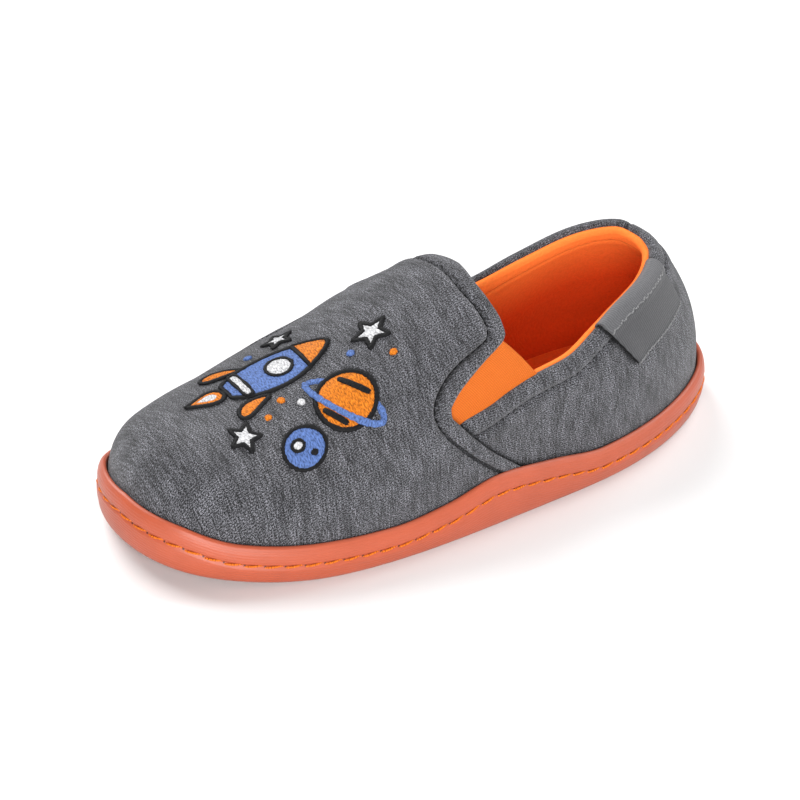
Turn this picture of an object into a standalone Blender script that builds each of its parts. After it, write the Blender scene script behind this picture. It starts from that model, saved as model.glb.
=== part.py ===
"""Child's moccasin slipper, the left shoe, standing empty on its sole.

A rubber cup sole holds a lined jersey upper. The vamp laps over the quarters, and an elastic gore fills
the notch between them on each side. Sizes are millimetres and the meshes are metres. The toe points to
-Y, the outer side of the foot to +X, and the sole stands on Z = 0.
"""
import math

import bmesh
import bpy
import numpy as np

for old in list(bpy.data.objects):
    bpy.data.objects.remove(old, do_unlink=True)

MM = 0.001
SHARP = math.radians(40)

# Driving sizes of the foot form
SOLE_LENGTH = 200.0
BALL_WIDTH = 81.4
INSTEP_HEIGHT = 66.0
HEEL_HEIGHT = 55.5
FORM_BASE = 9.0
TOE_BACK = 11.0
TOE_SPAN = 0.30
TOE_LOW = 16.0
TOE_HIGH = 40.0
HEEL_LEAN = 20.2
HEEL_SPAN = 0.45
HEEL_LOW = 12.0
HEEL_HIGH = 56.0
LEAN_POWER = 2.1
END_POWER = 2.6

# Sole
TOE_SPRING = 4.9
SPRING_REACH = 0.25
WELT = 3.0
CUP_FLOOR = 5.0
SOLE_STATIONS = 40

# Upper and the pieces set in it
GAP = 0.3
VAMP_WALL = 3.0
QUARTER_WALL = 2.6
LAP_STEP = 1.0
SEAM_DIP = 0.5
HEM_RISE = 0.2
QUARTER_FRONT = 0.37
GORE_THICK = 1.5
GORE_FOOT = 0.12
INSOLE_THICK = 4.0
INSOLE_INSET = 7.2
LABEL_THICK = 0.7
THREAD_LOW = 0.3
THREAD_HIGH = 1.1

# A row for each section: place along the sole from the toe, outer and inner edge of the sole as shares of
# the ball width, crest as a share of the instep height, fullness of the arch, top of the sole wall
SECTION_COLUMNS = ("station", "outer", "inner", "crest", "fullness", "wall_top")
SECTIONS = (
    (0.00, -0.030, -0.030, 0.390, 2.65, 21.1),
    (0.03, 0.208, -0.287, 0.540, 2.50, 18.8),
    (0.10, 0.352, -0.429, 0.562, 2.36, 14.3),
    (0.20, 0.453, -0.496, 0.622, 2.27, 12.5),
    (0.32, 0.499, -0.498, 0.742, 2.23, 12.1),
    (0.41, 0.504, -0.461, 0.878, 2.20, 14.0),
    (0.50, 0.496, -0.413, 0.985, 2.17, 17.4),
    (0.60, 0.482, -0.375, 0.995, 2.16, 15.2),
    (0.70, 0.464, -0.371, 0.935, 2.14, 12.1),
    (0.80, 0.417, -0.381, 0.930, 2.12, 12.4),
    (0.88, 0.342, -0.363, 0.915, 2.10, 12.9),
    (0.95, 0.232, -0.275, 0.910, 2.08, 13.5),
    (1.00, -0.003, -0.003, 0.920, 2.04, 13.9),
)

# Rear edge of the vamp and the hem seam before it, by girth: 0 on the crest, 1 at the foot of the form
EDGE_COLUMNS = ("girth", "edge", "seam")
EDGES = (
    (0.000, 0.540, 0.511),
    (0.150, 0.536, 0.510),
    (0.280, 0.540, 0.516),
    (0.385, 0.545, 0.520),
    (0.430, 0.545, 0.515),
    (0.450, 0.543, 0.493),
    (0.468, 0.539, 0.461),
    (0.490, 0.530, 0.438),
    (0.515, 0.516, 0.425),
    (0.545, 0.489, 0.413),
    (0.575, 0.457, 0.408),
    (0.600, 0.437, 0.406),
    (0.645, 0.431, 0.408),
    (0.694, 0.441, 0.415),
    (0.762, 0.460, 0.433),
    (0.844, 0.491, 0.463),
    (0.920, 0.533, 0.503),
    (1.000, 0.585, 0.555),
)

# Collar line of the quarters: height as a share of the heel height
COLLAR_COLUMNS = ("station", "height")
COLLAR = (
    (0.36, 0.559),
    (0.44, 0.623),
    (0.50, 0.663),
    (0.54, 0.704),
    (0.58, 0.732),
    (0.65, 0.757),
    (0.72, 0.836),
    (0.78, 0.890),
    (0.85, 0.937),
    (0.92, 0.968),
    (1.00, 1.000),
)

# Rings of the sole, from the tread round the wall into the cup: distance out from the widest line,
# share of the wall height, height added
RING_COLUMNS = ("out", "share", "rise")
RINGS = (
    (-3.6, 0.00, 0.0),
    (-1.2, 0.00, 0.9),
    (-0.2, 0.00, 2.8),
    (0.0, 0.44, 0.0),
    (-1.0, 0.48, 0.0),
    (-1.0, 0.56, 0.0),
    (-0.1, 0.60, 0.0),
    (-0.7, 0.86, 0.0),
    (-1.3, 1.00, -0.5),
    (-2.0, 1.00, 0.0),
    (-2.7, 1.00, -0.6),
    (-2.7, 0.00, 5.0),
)

# Corners of the bare collar label: place along the sole and height
LABEL_TOP = ((0.722, 45.4), (0.940, 52.4))
LABEL_FOOT = ((0.772, 32.4), (0.940, 40.0))

# Shapes of the embroidery, as seen flat: centre along the sole and round the girth from the crest,
# length, width, turn in degrees
MOTIF_COLUMNS = ("name", "kind", "along", "across", "length", "width", "turn")
MOTIFS = (
    ("motif_rocket", "hull", 50.0, -3.0, 34.0, 15.0, -6.0),
    ("motif_fin_outer", "fin", 37.8, 5.5, 11.5, 5.4, 12.0),
    ("motif_fin_inner", "fin", 39.8, -13.8, 11.5, 5.4, -24.0),
    ("motif_flame", "flame", 28.2, -5.3, 12.5, 7.5, -6.0),
    ("motif_planet", "disc", 60.0, 19.0, 17.0, 17.0, 0.0),
    ("motif_star_rear", "star", 76.0, 6.0, 10.0, 10.0, 20.0),
    ("motif_star_front", "star", 29.0, 14.0, 10.0, 10.0, 50.0),
    ("motif_star_crest", "star", 60.0, -15.0, 8.0, 8.0, 5.0),
)

# Colour and roughness of each material
FINISHES = {
    "coral_rubber": ("#e8603a", 0.55),
    "grey_jersey": ("#77787c", 0.90),
    "orange_fleece": ("#ee6a22", 0.95),
    "orange_elastic": ("#e8702a", 0.80),
    "grey_tape": ("#6c6d71", 0.80),
    "blue_thread": ("#6f8fcf", 0.60),
    "orange_thread": ("#ee8a24", 0.60),
    "white_thread": ("#e6e6e8", 0.60),
}


def rows(columns, table):
    """The table as one array for each named column."""
    return {name: np.array([row[i] for row in table]) for i, name in enumerate(columns)}


def spline(knots, values):
    """Smooth curve through the values, with free ends."""
    count = len(knots)
    step = np.diff(knots)
    slope = np.diff(values) / step
    system = np.eye(count)
    right = np.zeros(count)
    for i in range(1, count - 1):
        system[i, i - 1:i + 2] = step[i - 1], 2 * (step[i - 1] + step[i]), step[i]
        right[i] = 6 * (slope[i] - slope[i - 1])
    bend = np.linalg.solve(system, right)

    def value(x):
        i = np.clip(np.searchsorted(knots, x) - 1, 0, count - 2)
        d = x - knots[i]
        first = slope[i] - step[i] * (2 * bend[i] + bend[i + 1]) / 6
        return values[i] + d * (first + d * (bend[i] / 2 + d * (bend[i + 1] - bend[i]) / (6 * step[i])))

    return value


def eased(knots, values):
    """Curve through the values that never swings past them."""
    slope = np.diff(values) / np.diff(knots)
    flat = slope[:-1] * slope[1:] <= 0
    total = np.where(flat, 1.0, slope[:-1] + slope[1:])
    inner = np.where(flat, 0.0, 2 * slope[:-1] * slope[1:] / total)
    lean = np.concatenate(([slope[0]], inner, [slope[-1]]))

    def value(x):
        i = np.clip(np.searchsorted(knots, x) - 1, 0, len(knots) - 2)
        h = knots[i + 1] - knots[i]
        u = (x - knots[i]) / h
        rise = values[i + 1] - values[i]
        cubic = u * u * (3 - 2 * u) * rise
        return values[i] + cubic + h * u * (1 - u) * ((1 - u) * lean[i] - u * lean[i + 1])

    return value


def turn_of(station):
    """Station along the sole as an even turn round its ends."""
    return np.arccos(1 - 2 * np.asarray(station, float)) / math.pi


def station_of(turn):
    return (1 - np.cos(math.pi * np.asarray(turn, float))) / 2


def smooth(x):
    x = np.clip(x, 0, 1)
    return x * x * (3 - 2 * x)


SECTION = rows(SECTION_COLUMNS, SECTIONS)
SECTION_TURN = turn_of(SECTION["station"])
outer_edge = spline(SECTION_TURN, BALL_WIDTH * SECTION["outer"])
inner_edge = spline(SECTION_TURN, BALL_WIDTH * SECTION["inner"])
crest_height = spline(SECTION_TURN, INSTEP_HEIGHT * SECTION["crest"])
fullness = spline(SECTION_TURN, SECTION["fullness"])
wall_top = eased(SECTION_TURN, SECTION["wall_top"])
EDGE = rows(EDGE_COLUMNS, EDGES)
vamp_edge = eased(EDGE["girth"], EDGE["edge"])
vamp_seam = eased(EDGE["girth"], EDGE["seam"])
COLLAR_LINE = rows(COLLAR_COLUMNS, COLLAR)
collar_height = eased(COLLAR_LINE["station"], HEEL_HEIGHT * COLLAR_LINE["height"])


def toe_rise(turn):
    """Height of the tread off the floor."""
    return TOE_SPRING * np.clip(1 - station_of(turn) / SPRING_REACH, 0, 1) ** 2


def plan(turn, outer, out):
    """Point of the sole's outline, moved out along its normal."""
    turn = np.asarray(turn, float)
    side = np.where(outer, 1.0, -1.0)

    def edge(at):
        return np.where(outer, outer_edge(at), inner_edge(at))

    low = np.clip(turn - 1e-4, 0, 1)
    high = np.clip(turn + 1e-4, 0, 1)
    dx = edge(high) - edge(low)
    dy = (station_of(high) - station_of(low)) * SOLE_LENGTH
    length = np.hypot(dx, dy)
    tip = (turn < 1e-6) | (turn > 1 - 1e-6)
    normal_x = np.where(tip, 0.0, side * dy / length)
    normal_y = np.where(tip, np.sign(turn - 0.5), -side * dx / length)
    y = (station_of(turn) - 0.5) * SOLE_LENGTH
    return edge(turn) + out * normal_x, y + out * normal_y


def form(turn, girth):
    """Outer face of the upper: girth runs from the outer foot (1) over the crest to the inner foot (-1)."""
    turn, girth = np.broadcast_arrays(np.asarray(turn, float), np.asarray(girth, float))
    base = FORM_BASE + toe_rise(turn)
    outer_x, outer_y = plan(turn, True, -WELT)
    inner_x, inner_y = plan(turn, False, -WELT)
    mid_x, mid_y = (outer_x + inner_x) / 2, (outer_y + inner_y) / 2
    foot_x = np.where(girth >= 0, outer_x, inner_x)
    foot_y = np.where(girth >= 0, outer_y, inner_y)
    angle = (1 - np.clip(np.abs(girth), 0, 1)) * math.pi / 2
    power = 2 / fullness(turn)
    across = np.cos(angle) ** power
    up = np.sin(angle) ** power
    below = np.clip(np.abs(girth) - 1, 0, 1) * 10 * (FORM_BASE - CUP_FLOOR - GAP)
    x = mid_x + (foot_x - mid_x) * across
    y = mid_y + (foot_y - mid_y) * across
    z = base + (crest_height(turn) - base) * up - below
    toe = np.clip(1 - station_of(turn) / TOE_SPAN, 0, 1) ** END_POWER
    heel = np.clip(1 - (1 - station_of(turn)) / HEEL_SPAN, 0, 1) ** END_POWER
    y = y + TOE_BACK * toe * np.clip((z - TOE_LOW) / (TOE_HIGH - TOE_LOW), 0, 1.4) ** LEAN_POWER
    y = y - HEEL_LEAN * heel * np.clip((z - HEEL_LOW) / (HEEL_HIGH - HEEL_LOW), 0, 1.4) ** LEAN_POWER
    return np.stack([x, y, z], axis=-1)


def skin(turn, girth, lift):
    """Point of the form lifted along its normal."""
    turn, girth = np.broadcast_arrays(np.asarray(turn, float), np.asarray(girth, float))
    along = form(np.clip(turn + 1e-4, 0, 1), girth) - form(np.clip(turn - 1e-4, 0, 1), girth)
    round_it = form(turn, girth + 1e-4) - form(turn, girth - 1e-4)
    normal = np.cross(round_it, along)
    size = np.linalg.norm(normal, axis=-1, keepdims=True)
    return form(turn, girth) + np.asarray(lift)[..., None] * normal / np.maximum(size, 1e-12)


def girth_at(turn, height):
    """Girth place of a height on the form."""
    base = FORM_BASE + toe_rise(turn)
    share = np.clip((height - base) / (crest_height(turn) - base), 0, 1)
    return 1 - np.arcsin(share ** (fullness(turn) / 2)) * 2 / math.pi


def girth_from_crest(turn, distance):
    """Girth place at a distance from the crest, measured on the form."""
    steps = np.linspace(0, 1, 121)
    points = form(turn, steps * (1 if distance >= 0 else -1))
    run = np.concatenate(([0.0], np.cumsum(np.linalg.norm(np.diff(points, axis=0), axis=1))))
    return math.copysign(np.interp(abs(distance), run, steps), distance)


def finish(name):
    """Material with its colour and roughness."""
    found = bpy.data.materials.get(name)
    if found:
        return found
    code, rough = FINISHES[name]
    channels = [int(code[i:i + 2], 16) / 255 for i in (1, 3, 5)]
    linear = [c / 12.92 if c <= 0.04045 else ((c + 0.055) / 1.055) ** 2.4 for c in channels]
    material = bpy.data.materials.new(name)
    material.use_nodes = True
    shader = material.node_tree.nodes["Principled BSDF"]
    shader.inputs["Base Color"].default_value = (*linear, 1.0)
    shader.inputs["Roughness"].default_value = rough
    return material


def add_object(name, points, faces, material):
    """Mesh object with its doubled points joined and its faces outward."""
    mesh = bpy.data.meshes.new(name)
    shape = bmesh.new()
    verts = [shape.verts.new([c * MM for c in point]) for point in points]
    for face in faces:
        ring = [verts[i] for i in face]
        if len(set(ring)) > 2:
            shape.faces.new(ring)
    bmesh.ops.remove_doubles(shape, verts=shape.verts, dist=1e-6)
    bmesh.ops.dissolve_degenerate(shape, edges=shape.edges, dist=1e-6)
    bmesh.ops.recalc_face_normals(shape, faces=shape.faces)
    shape.to_mesh(mesh)
    shape.free()
    mesh.shade_smooth()
    mesh.set_sharp_from_angle(angle=SHARP)
    mesh.materials.append(finish(material))
    item = bpy.data.objects.new(name, mesh)
    bpy.context.scene.collection.objects.link(item)
    return item


def grid_faces(across, along, start=0, flip=False):
    """Quads of a grid of points stored row by row."""
    quads = []
    for i in range(along - 1):
        for j in range(across - 1):
            a = start + i * across + j
            quad = (a, a + 1, a + across + 1, a + across)
            quads.append(quad[::-1] if flip else quad)
    return quads


def slab(name, outside, inside, material):
    """Closed thin piece between two grids of the same size."""
    along, across = outside.shape[:2]
    count = along * across
    faces = grid_faces(across, along) + grid_faces(across, along, count, True)
    rim = [(0, j) for j in range(across)] + [(i, across - 1) for i in range(1, along)]
    rim += [(along - 1, j) for j in range(across - 2, -1, -1)] + [(i, 0) for i in range(along - 2, 0, -1)]
    ring = [i * across + j for i, j in rim]
    for a, b in zip(ring, ring[1:] + ring[:1]):
        faces.append((a, b, b + count, a + count))
    points = np.concatenate((outside.reshape(-1, 3), inside.reshape(-1, 3)))
    return add_object(name, points, faces, material)


def outline_ring(out, height, stations):
    """Closed ring of points round the outline, toe first along the outer side."""
    turns = np.linspace(0, 1, stations + 1)
    x, y = plan(turns, True, out)
    outer = np.stack([x, y, height(turns)], axis=-1)
    x, y = plan(turns, False, out)
    inner = np.stack([x, y, height(turns)], axis=-1)
    return np.concatenate((outer, inner[-2:0:-1]))


def lofted(name, rings, stations, material):
    """Solid through rings, closed across at the first and the last."""
    count = 2 * stations
    faces = []
    for k in range(len(rings) - 1):
        for i in range(count):
            j = (i + 1) % count
            faces.append((k * count + i, k * count + j, (k + 1) * count + j, (k + 1) * count + i))
    for start in (0, (len(rings) - 1) * count):
        for i in range(stations):
            far = (count - i) % count
            far_next = count - i - 1
            ring = []
            for place in (i, i + 1, far_next, far):
                if start + place not in ring:
                    ring.append(start + place)
            faces.append(ring)
    return add_object(name, np.concatenate(rings), faces, material)


def build_sole():
    ring = rows(RING_COLUMNS, RINGS)
    rings = []
    for out, share, rise in zip(ring["out"], ring["share"], ring["rise"]):
        def height(turn, share=share, rise=rise):
            low = toe_rise(turn)
            return low + share * (wall_top(turn) - low) + rise
        rings.append(outline_ring(out, height, SOLE_STATIONS))
    return lofted("outsole", rings, SOLE_STATIONS, "coral_rubber")


def build_insole():
    stations = SOLE_STATIONS - 8
    low = CUP_FLOOR + GAP
    steps = ((0.3, low), (0.0, low + 0.4), (0.0, low + INSOLE_THICK - 1.2), (1.0, low + INSOLE_THICK),
             (6.0, low + INSOLE_THICK - 0.6))
    rings = []
    for inset, level in steps:
        def height(turn, level=level):
            return toe_rise(turn) + level
        rings.append(outline_ring(-INSOLE_INSET - inset, height, stations))
    return lofted("insole", rings, stations, "orange_fleece")


def vamp_shell():
    """Outer face of the vamp: rows from the toe to the hem seam, then the hem to the edge."""
    knots = EDGE["girth"]
    half = np.sort(np.concatenate((knots, (knots[:3] + knots[1:4]) / 2, [0.735, 0.81, 0.89])))
    girths = np.concatenate(([1.1], half[:0:-1], -half, [-1.1]))
    place = np.clip(np.abs(girths), 0, 1)
    seam = turn_of(vamp_seam(place))
    edge = turn_of(vamp_edge(place))
    grid = []
    for share in np.concatenate((np.linspace(0, 1, 17)[:-1], [0.986])):
        grid.append(form(share * seam, girths))
    for share, lift in ((0.0, -SEAM_DIP), (0.22, HEM_RISE), (0.75, HEM_RISE), (1.0, 0.0)):
        grid.append(skin(seam + share * (edge - seam), girths, np.full(girths.shape, lift)))
    return np.array(grid)


def quarter_shell():
    """Outer face of the quarters, from the front end of the outer side round the heel to the inner one."""
    half = np.linspace(turn_of(QUARTER_FRONT), 1, 21)
    turns = np.concatenate((half, half[-2::-1]))
    side = np.concatenate((np.ones(len(half)), -np.ones(len(half) - 1)))
    station = station_of(turns)
    lift = -LAP_STEP * (1 - smooth((station - 0.60) / 0.14))
    top = girth_at(turns, collar_height(station))
    hem = girth_at(turns, collar_height(station) - 5.0)
    grid = [skin(turns, side * 1.1, lift), skin(turns, side, lift)]
    for share in (0.2, 0.4, 0.6, 0.8, 0.95):
        grid.append(skin(turns, side * (1 + share * (hem - 1)), lift))
    for share, rise in ((0.0, -SEAM_DIP), (0.25, HEM_RISE), (0.75, HEM_RISE), (1.0, 0.0)):
        grid.append(skin(turns, side * (hem + share * (top - hem)), lift + rise))
    return np.array(grid)


def walled(name, grid, wall, material):
    """Face given a wall inward."""
    along, across = grid.shape[:2]
    item = add_object(name, grid.reshape(-1, 3), grid_faces(across, along), material)
    solidify = item.modifiers.new("wall", "SOLIDIFY")
    solidify.thickness = wall * MM
    solidify.offset = -1
    solidify.use_even_offset = True
    solidify.use_quality_normals = True
    return item


def face_out(item):
    """Turns an open face so that it looks away from the inside of the shoe."""
    mesh = item.data
    inside = np.array((0.0, 0.0, 0.02))
    lean = sum(np.dot(np.array(p.center) - inside, np.array(p.normal)) * p.area for p in mesh.polygons)
    if lean < 0:
        mesh.flip_normals()


def build_upper():
    upper = walled("upper", vamp_shell(), VAMP_WALL, "grey_jersey")
    quarters = walled("quarter_form", quarter_shell(), QUARTER_WALL, "grey_jersey")
    face_out(upper)
    face_out(quarters)
    quarters.hide_render = True
    quarters.display_type = "WIRE"
    join = upper.modifiers.new("lap", "BOOLEAN")
    join.operation = "UNION"
    join.solver = "EXACT"
    join.object = quarters
    return upper


def build_gore(name, side):
    """Elastic panel between the vamp edge and the collar line of the quarter."""
    outside = []
    inside = []
    for share in np.linspace(GORE_FOOT, 1, 12):
        front_girth = 0.650 + share * (0.482 - 0.650)
        front = np.array((float(vamp_edge(front_girth)), front_girth))
        rear_station = 0.437 + share * (0.576 - 0.437)
        rear = np.array((rear_station, girth_at(turn_of(rear_station), float(collar_height(rear_station)))))
        ends = form(turn_of((front[0], rear[0])), np.array((front[1], rear[1])))
        inset = 1.6 * GAP / np.linalg.norm(ends[1] - ends[0])
        steps = np.linspace(inset, 1 - inset, 6)
        line = front + steps[:, None] * (rear - front)
        turns = turn_of(line[:, 0])
        outside.append(skin(turns, side * line[:, 1], np.full(6, -LAP_STEP)))
        inside.append(skin(turns, side * line[:, 1], np.full(6, -LAP_STEP - GORE_THICK)))
    return slab(name, np.array(outside), np.array(inside), "orange_elastic")


def build_label():
    """Bare woven label on the outer side of the heel, just under the collar edge."""
    across = np.linspace(0, 1, 13)
    outside = []
    inside = []
    for down in np.linspace(0, 1, 6):
        front, rear = np.array(LABEL_TOP) + down * (np.array(LABEL_FOOT) - np.array(LABEL_TOP))
        turns = turn_of(front[0]) + across * (turn_of(rear[0]) - turn_of(front[0]))
        heights = front[1] + across * (rear[1] - front[1])
        girths = girth_at(turns, heights)
        outside.append(skin(turns, girths, np.full(13, HEM_RISE + GAP + LABEL_THICK)))
        inside.append(skin(turns, girths, np.full(13, HEM_RISE + GAP)))
    return slab("collar_label", np.array(outside), np.array(inside), "grey_tape")


def flat_shape(kind, length, width):
    """Outline of one embroidered shape about its centre, nose along +X."""
    angle = np.linspace(0, 2 * math.pi, 25)[:-1]
    if kind == "star":
        angle = np.linspace(0, 2 * math.pi, 11)[:-1]
        reach = np.where(np.arange(10) % 2 == 0, 1.0, 0.46)
        return np.stack([reach * np.cos(angle), reach * np.sin(angle)], axis=-1) * length / 2
    x = np.cos(angle)
    y = np.sin(angle)
    if kind == "hull":
        y = y * np.where(x > 0, 1 - 0.42 * x ** 2, 1 - 0.25 * x ** 4)
        x = np.where(x < -0.86, -0.86, x)
    if kind == "fin":
        y = y * (0.75 - 0.35 * x) + 0.3 * x ** 2
    if kind == "flame":
        y = y * (0.65 + 0.5 * x)
    return np.stack([x * length / 2, y * width / 2], axis=-1)


def build_motif(name, kind, along, across, length, width, turn):
    """Raised patch of thread: rings from a centre out to the shape's outline, laid on the form."""
    shape = flat_shape(kind, length, width)
    turned = math.radians(turn)
    axis = np.array((math.cos(turned), -math.sin(turned)))
    side = np.array((math.sin(turned), math.cos(turned)))
    shares = (1.0, 0.72, 0.42)
    flat = [np.array((along, across))]
    for share in shares:
        flat.extend(np.array((along, across)) + share * (p[0] * axis + p[1] * side) for p in shape)
    turns = turn_of(np.array([p[0] for p in flat]) / SOLE_LENGTH)
    girths = np.array([girth_from_crest(t, p[1]) for t, p in zip(turns, flat)])
    top = skin(turns, girths, np.full(len(flat), THREAD_HIGH))
    low = skin(turns, girths, np.full(len(flat), THREAD_LOW))
    count = len(shape)
    total = len(flat)
    faces = []
    for i in range(count):
        j = (i + 1) % count
        for level in (0, total):
            for k in range(len(shares) - 1):
                ring = level + 1 + k * count
                faces.append((ring + i, ring + j, ring + count + j, ring + count + i))
            last = level + 1 + (len(shares) - 1) * count
            faces.append((last + i, last + j, level))
        faces.append((1 + i, 1 + j, total + 1 + j, total + 1 + i))
    colour = {"hull": "blue_thread", "star": "white_thread"}.get(kind, "orange_thread")
    return add_object(name, np.concatenate((top, low)), faces, colour)


build_sole()
build_insole()
build_upper()
build_gore("gore_outer", 1)
build_gore("gore_inner", -1)
build_label()
for motif in MOTIFS:
    build_motif(**dict(zip(MOTIF_COLUMNS, motif)))
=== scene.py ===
"""Looks of a child's moccasin slipper, the left shoe, laid out as a Blender add-on.

Every piece is laid on the same foot form as the solids. Sizes in tables and functions are millimetres, and
meshes and settings are metres. The toe points to -Y, the outer side of the foot to +X, and the sole stands
on Z = 0. A station is a place along the sole, as a share of its length from the toe. A turn is the same place
counted evenly round the sole's ends. A girth is a place round the form: 0 on the crest, 1 at the outer foot
and -1 at the inner foot.
"""
import functools
import math
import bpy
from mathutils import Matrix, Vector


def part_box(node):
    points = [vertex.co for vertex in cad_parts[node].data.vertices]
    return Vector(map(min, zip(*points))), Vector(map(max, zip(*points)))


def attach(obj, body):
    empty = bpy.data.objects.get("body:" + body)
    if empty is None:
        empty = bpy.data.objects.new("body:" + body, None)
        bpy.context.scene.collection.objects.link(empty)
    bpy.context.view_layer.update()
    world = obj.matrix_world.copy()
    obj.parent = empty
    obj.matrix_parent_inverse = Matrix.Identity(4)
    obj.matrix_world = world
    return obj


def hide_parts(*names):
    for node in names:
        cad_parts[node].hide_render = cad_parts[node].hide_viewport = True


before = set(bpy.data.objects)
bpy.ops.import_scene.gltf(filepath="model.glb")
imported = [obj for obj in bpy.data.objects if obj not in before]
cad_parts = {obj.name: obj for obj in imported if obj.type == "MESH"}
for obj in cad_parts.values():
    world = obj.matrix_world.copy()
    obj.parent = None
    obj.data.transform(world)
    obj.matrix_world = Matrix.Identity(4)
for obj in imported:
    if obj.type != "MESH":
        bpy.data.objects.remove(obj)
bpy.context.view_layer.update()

from types import SimpleNamespace

import bmesh
import bpy
import numpy as np
from mathutils import Matrix, Vector

bl_info = {
    "name": "Moccasin slipper",
    "version": (1, 0, 0),
    "blender": (4, 5, 0),
    "location": "View3D > Sidebar > Slipper",
    "description": "Dresses the slipper's frame in rubber, jersey, fleece, elastic, tape and thread",
    "category": "Object",
}

MM = 0.001
BODY = "root"

# Foot form, with the sole's length taken from the frame
SOLE_LENGTH = (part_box("outsole")[1].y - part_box("outsole")[0].y) / MM
BALL_WIDTH = 81.4
INSTEP_HEIGHT = 66.0
HEEL_HEIGHT = 55.5
FORM_BASE = 9.0
TOE_BACK = 11.0
TOE_SPAN = 0.30
TOE_LOW = 16.0
TOE_HIGH = 40.0
HEEL_LEAN = 20.2
HEEL_SPAN = 0.45
HEEL_LOW = 12.0
HEEL_HIGH = 56.0
LEAN_POWER = 2.1
LEAN_MOST = 1.4
END_POWER = 2.6
TOE_SPRING = 4.9
SPRING_REACH = 0.25
WELT = 3.0
CUP_FLOOR = 5.0
GAP = 0.3
LAP_STEP = 1.0
LAP_SLANT = 0.65
QUARTER_FRONT = 0.37
INSOLE_INSET = 7.2
LINING_DEPTH = 3.4

# A row for each section: station, outer and inner edge of the sole as shares of the ball width, crest as a
# share of the instep height, fullness of the arch, top of the sole wall
SECTION_COLUMNS = ("station", "outer", "inner", "crest", "fullness", "wall_top")
SECTIONS = (
    (0.00, -0.030, -0.030, 0.390, 2.65, 21.1),
    (0.03, 0.208, -0.287, 0.540, 2.50, 18.8),
    (0.10, 0.352, -0.429, 0.562, 2.36, 14.3),
    (0.20, 0.453, -0.496, 0.622, 2.27, 12.5),
    (0.32, 0.499, -0.498, 0.742, 2.23, 12.1),
    (0.41, 0.504, -0.461, 0.878, 2.20, 14.0),
    (0.50, 0.496, -0.413, 0.985, 2.17, 17.4),
    (0.60, 0.482, -0.375, 0.995, 2.16, 15.2),
    (0.70, 0.464, -0.371, 0.935, 2.14, 12.1),
    (0.80, 0.417, -0.381, 0.930, 2.12, 12.4),
    (0.88, 0.342, -0.363, 0.915, 2.10, 12.9),
    (0.95, 0.232, -0.275, 0.910, 2.08, 13.5),
    (1.00, -0.003, -0.003, 0.920, 2.04, 13.9),
)

# Stations of the vamp's rear edge and of the hem seam before it, by girth
EDGE_COLUMNS = ("girth", "edge", "seam")
EDGES = (
    (0.000, 0.540, 0.511),
    (0.150, 0.536, 0.510),
    (0.280, 0.540, 0.516),
    (0.385, 0.545, 0.520),
    (0.430, 0.545, 0.515),
    (0.450, 0.540, 0.493),
    (0.466, 0.529, 0.464),
    (0.484, 0.513, 0.443),
    (0.514, 0.487, 0.425),
    (0.548, 0.458, 0.413),
    (0.575, 0.443, 0.408),
    (0.605, 0.433, 0.406),
    (0.645, 0.431, 0.408),
    (0.694, 0.441, 0.415),
    (0.762, 0.460, 0.433),
    (0.844, 0.491, 0.463),
    (0.920, 0.533, 0.503),
    (1.000, 0.585, 0.555),
)

# Collar line of the quarters: height as a share of the heel height
COLLAR_COLUMNS = ("station", "height")
COLLAR = (
    (0.36, 0.559),
    (0.44, 0.623),
    (0.50, 0.663),
    (0.54, 0.704),
    (0.58, 0.732),
    (0.65, 0.757),
    (0.72, 0.836),
    (0.78, 0.890),
    (0.85, 0.937),
    (0.92, 0.968),
    (1.00, 1.000),
)
# How much higher the edge stands on the inner side and at the heel, how much lower at the outer heel, and the
# seam at the heel, off the middle to the inner side
COLLAR_RISE = 1.2
COLLAR_DIP = 2.8
BACK_SEAM = 6.0

# Where a form comes in: its first place, and how far on it is whole. Stations for the collar and for the step
# under the vamp, girths for the laps, the throat and the foot
INNER_RISE = (0.50, 0.10)
OUTER_RISE = (0.84, 0.12)
DIP_START = (0.75, 0.20)
DIP_END = (0.97, 0.06)
UNDER_VAMP = (0.60, 0.14)
VAMP_LAP = (0.60, 0.10)
QUARTER_LAP = (0.60, 0.06)
THROAT_END = (0.40, 0.12)
HELD_FROM = 1.04
HELD_REACH = 0.06

# Profile of the sole wall from the tread to the cup: distance out from the widest line, share of the wall
# height, height added. The crease counts its heights down from the stitch line
WALL_LOW = (
    (-3.8, 0.00, 0.00),
    (-3.1, 0.00, 0.05),
    (-2.5, 0.00, 0.25),
    (-1.95, 0.00, 0.60),
    (-1.55, 0.00, 1.05),
    (-1.2, 0.00, 1.65),
    (-0.9, 0.00, 2.35),
    (-0.66, 0.00, 3.10),
    (-0.36, 0.18, 2.00),
    (-0.14, 0.36, 0.40),
)
WALL_CREASE = (
    (0.0, 1.00, 1.40),
    (-0.04, 1.00, 0.95),
    (-0.18, 1.00, 0.60),
    (-0.42, 1.00, 0.28),
    (-0.56, 1.00, 0.0),
    (-0.50, 1.00, -0.22),
    (-0.32, 1.00, -0.48),
    (-0.20, 1.00, -0.80),
    (-0.16, 1.00, -1.20),
)
WALL_HIGH = (
    (-0.18, 1.00, -3.2),
    (-0.32, 1.00, -2.3),
    (-0.55, 1.00, -1.5),
    (-0.85, 1.00, -0.85),
    (-1.15, 1.00, -0.42),
    (-1.50, 1.00, -0.14),
    (-1.90, 1.00, 0.00),
    (-2.30, 1.00, -0.10),
    (-2.60, 1.00, -0.40),
    (-2.75, 1.00, -0.95),
    (-2.80, 0.00, 7.00),
    (-2.80, 0.00, 5.00),
)
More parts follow.
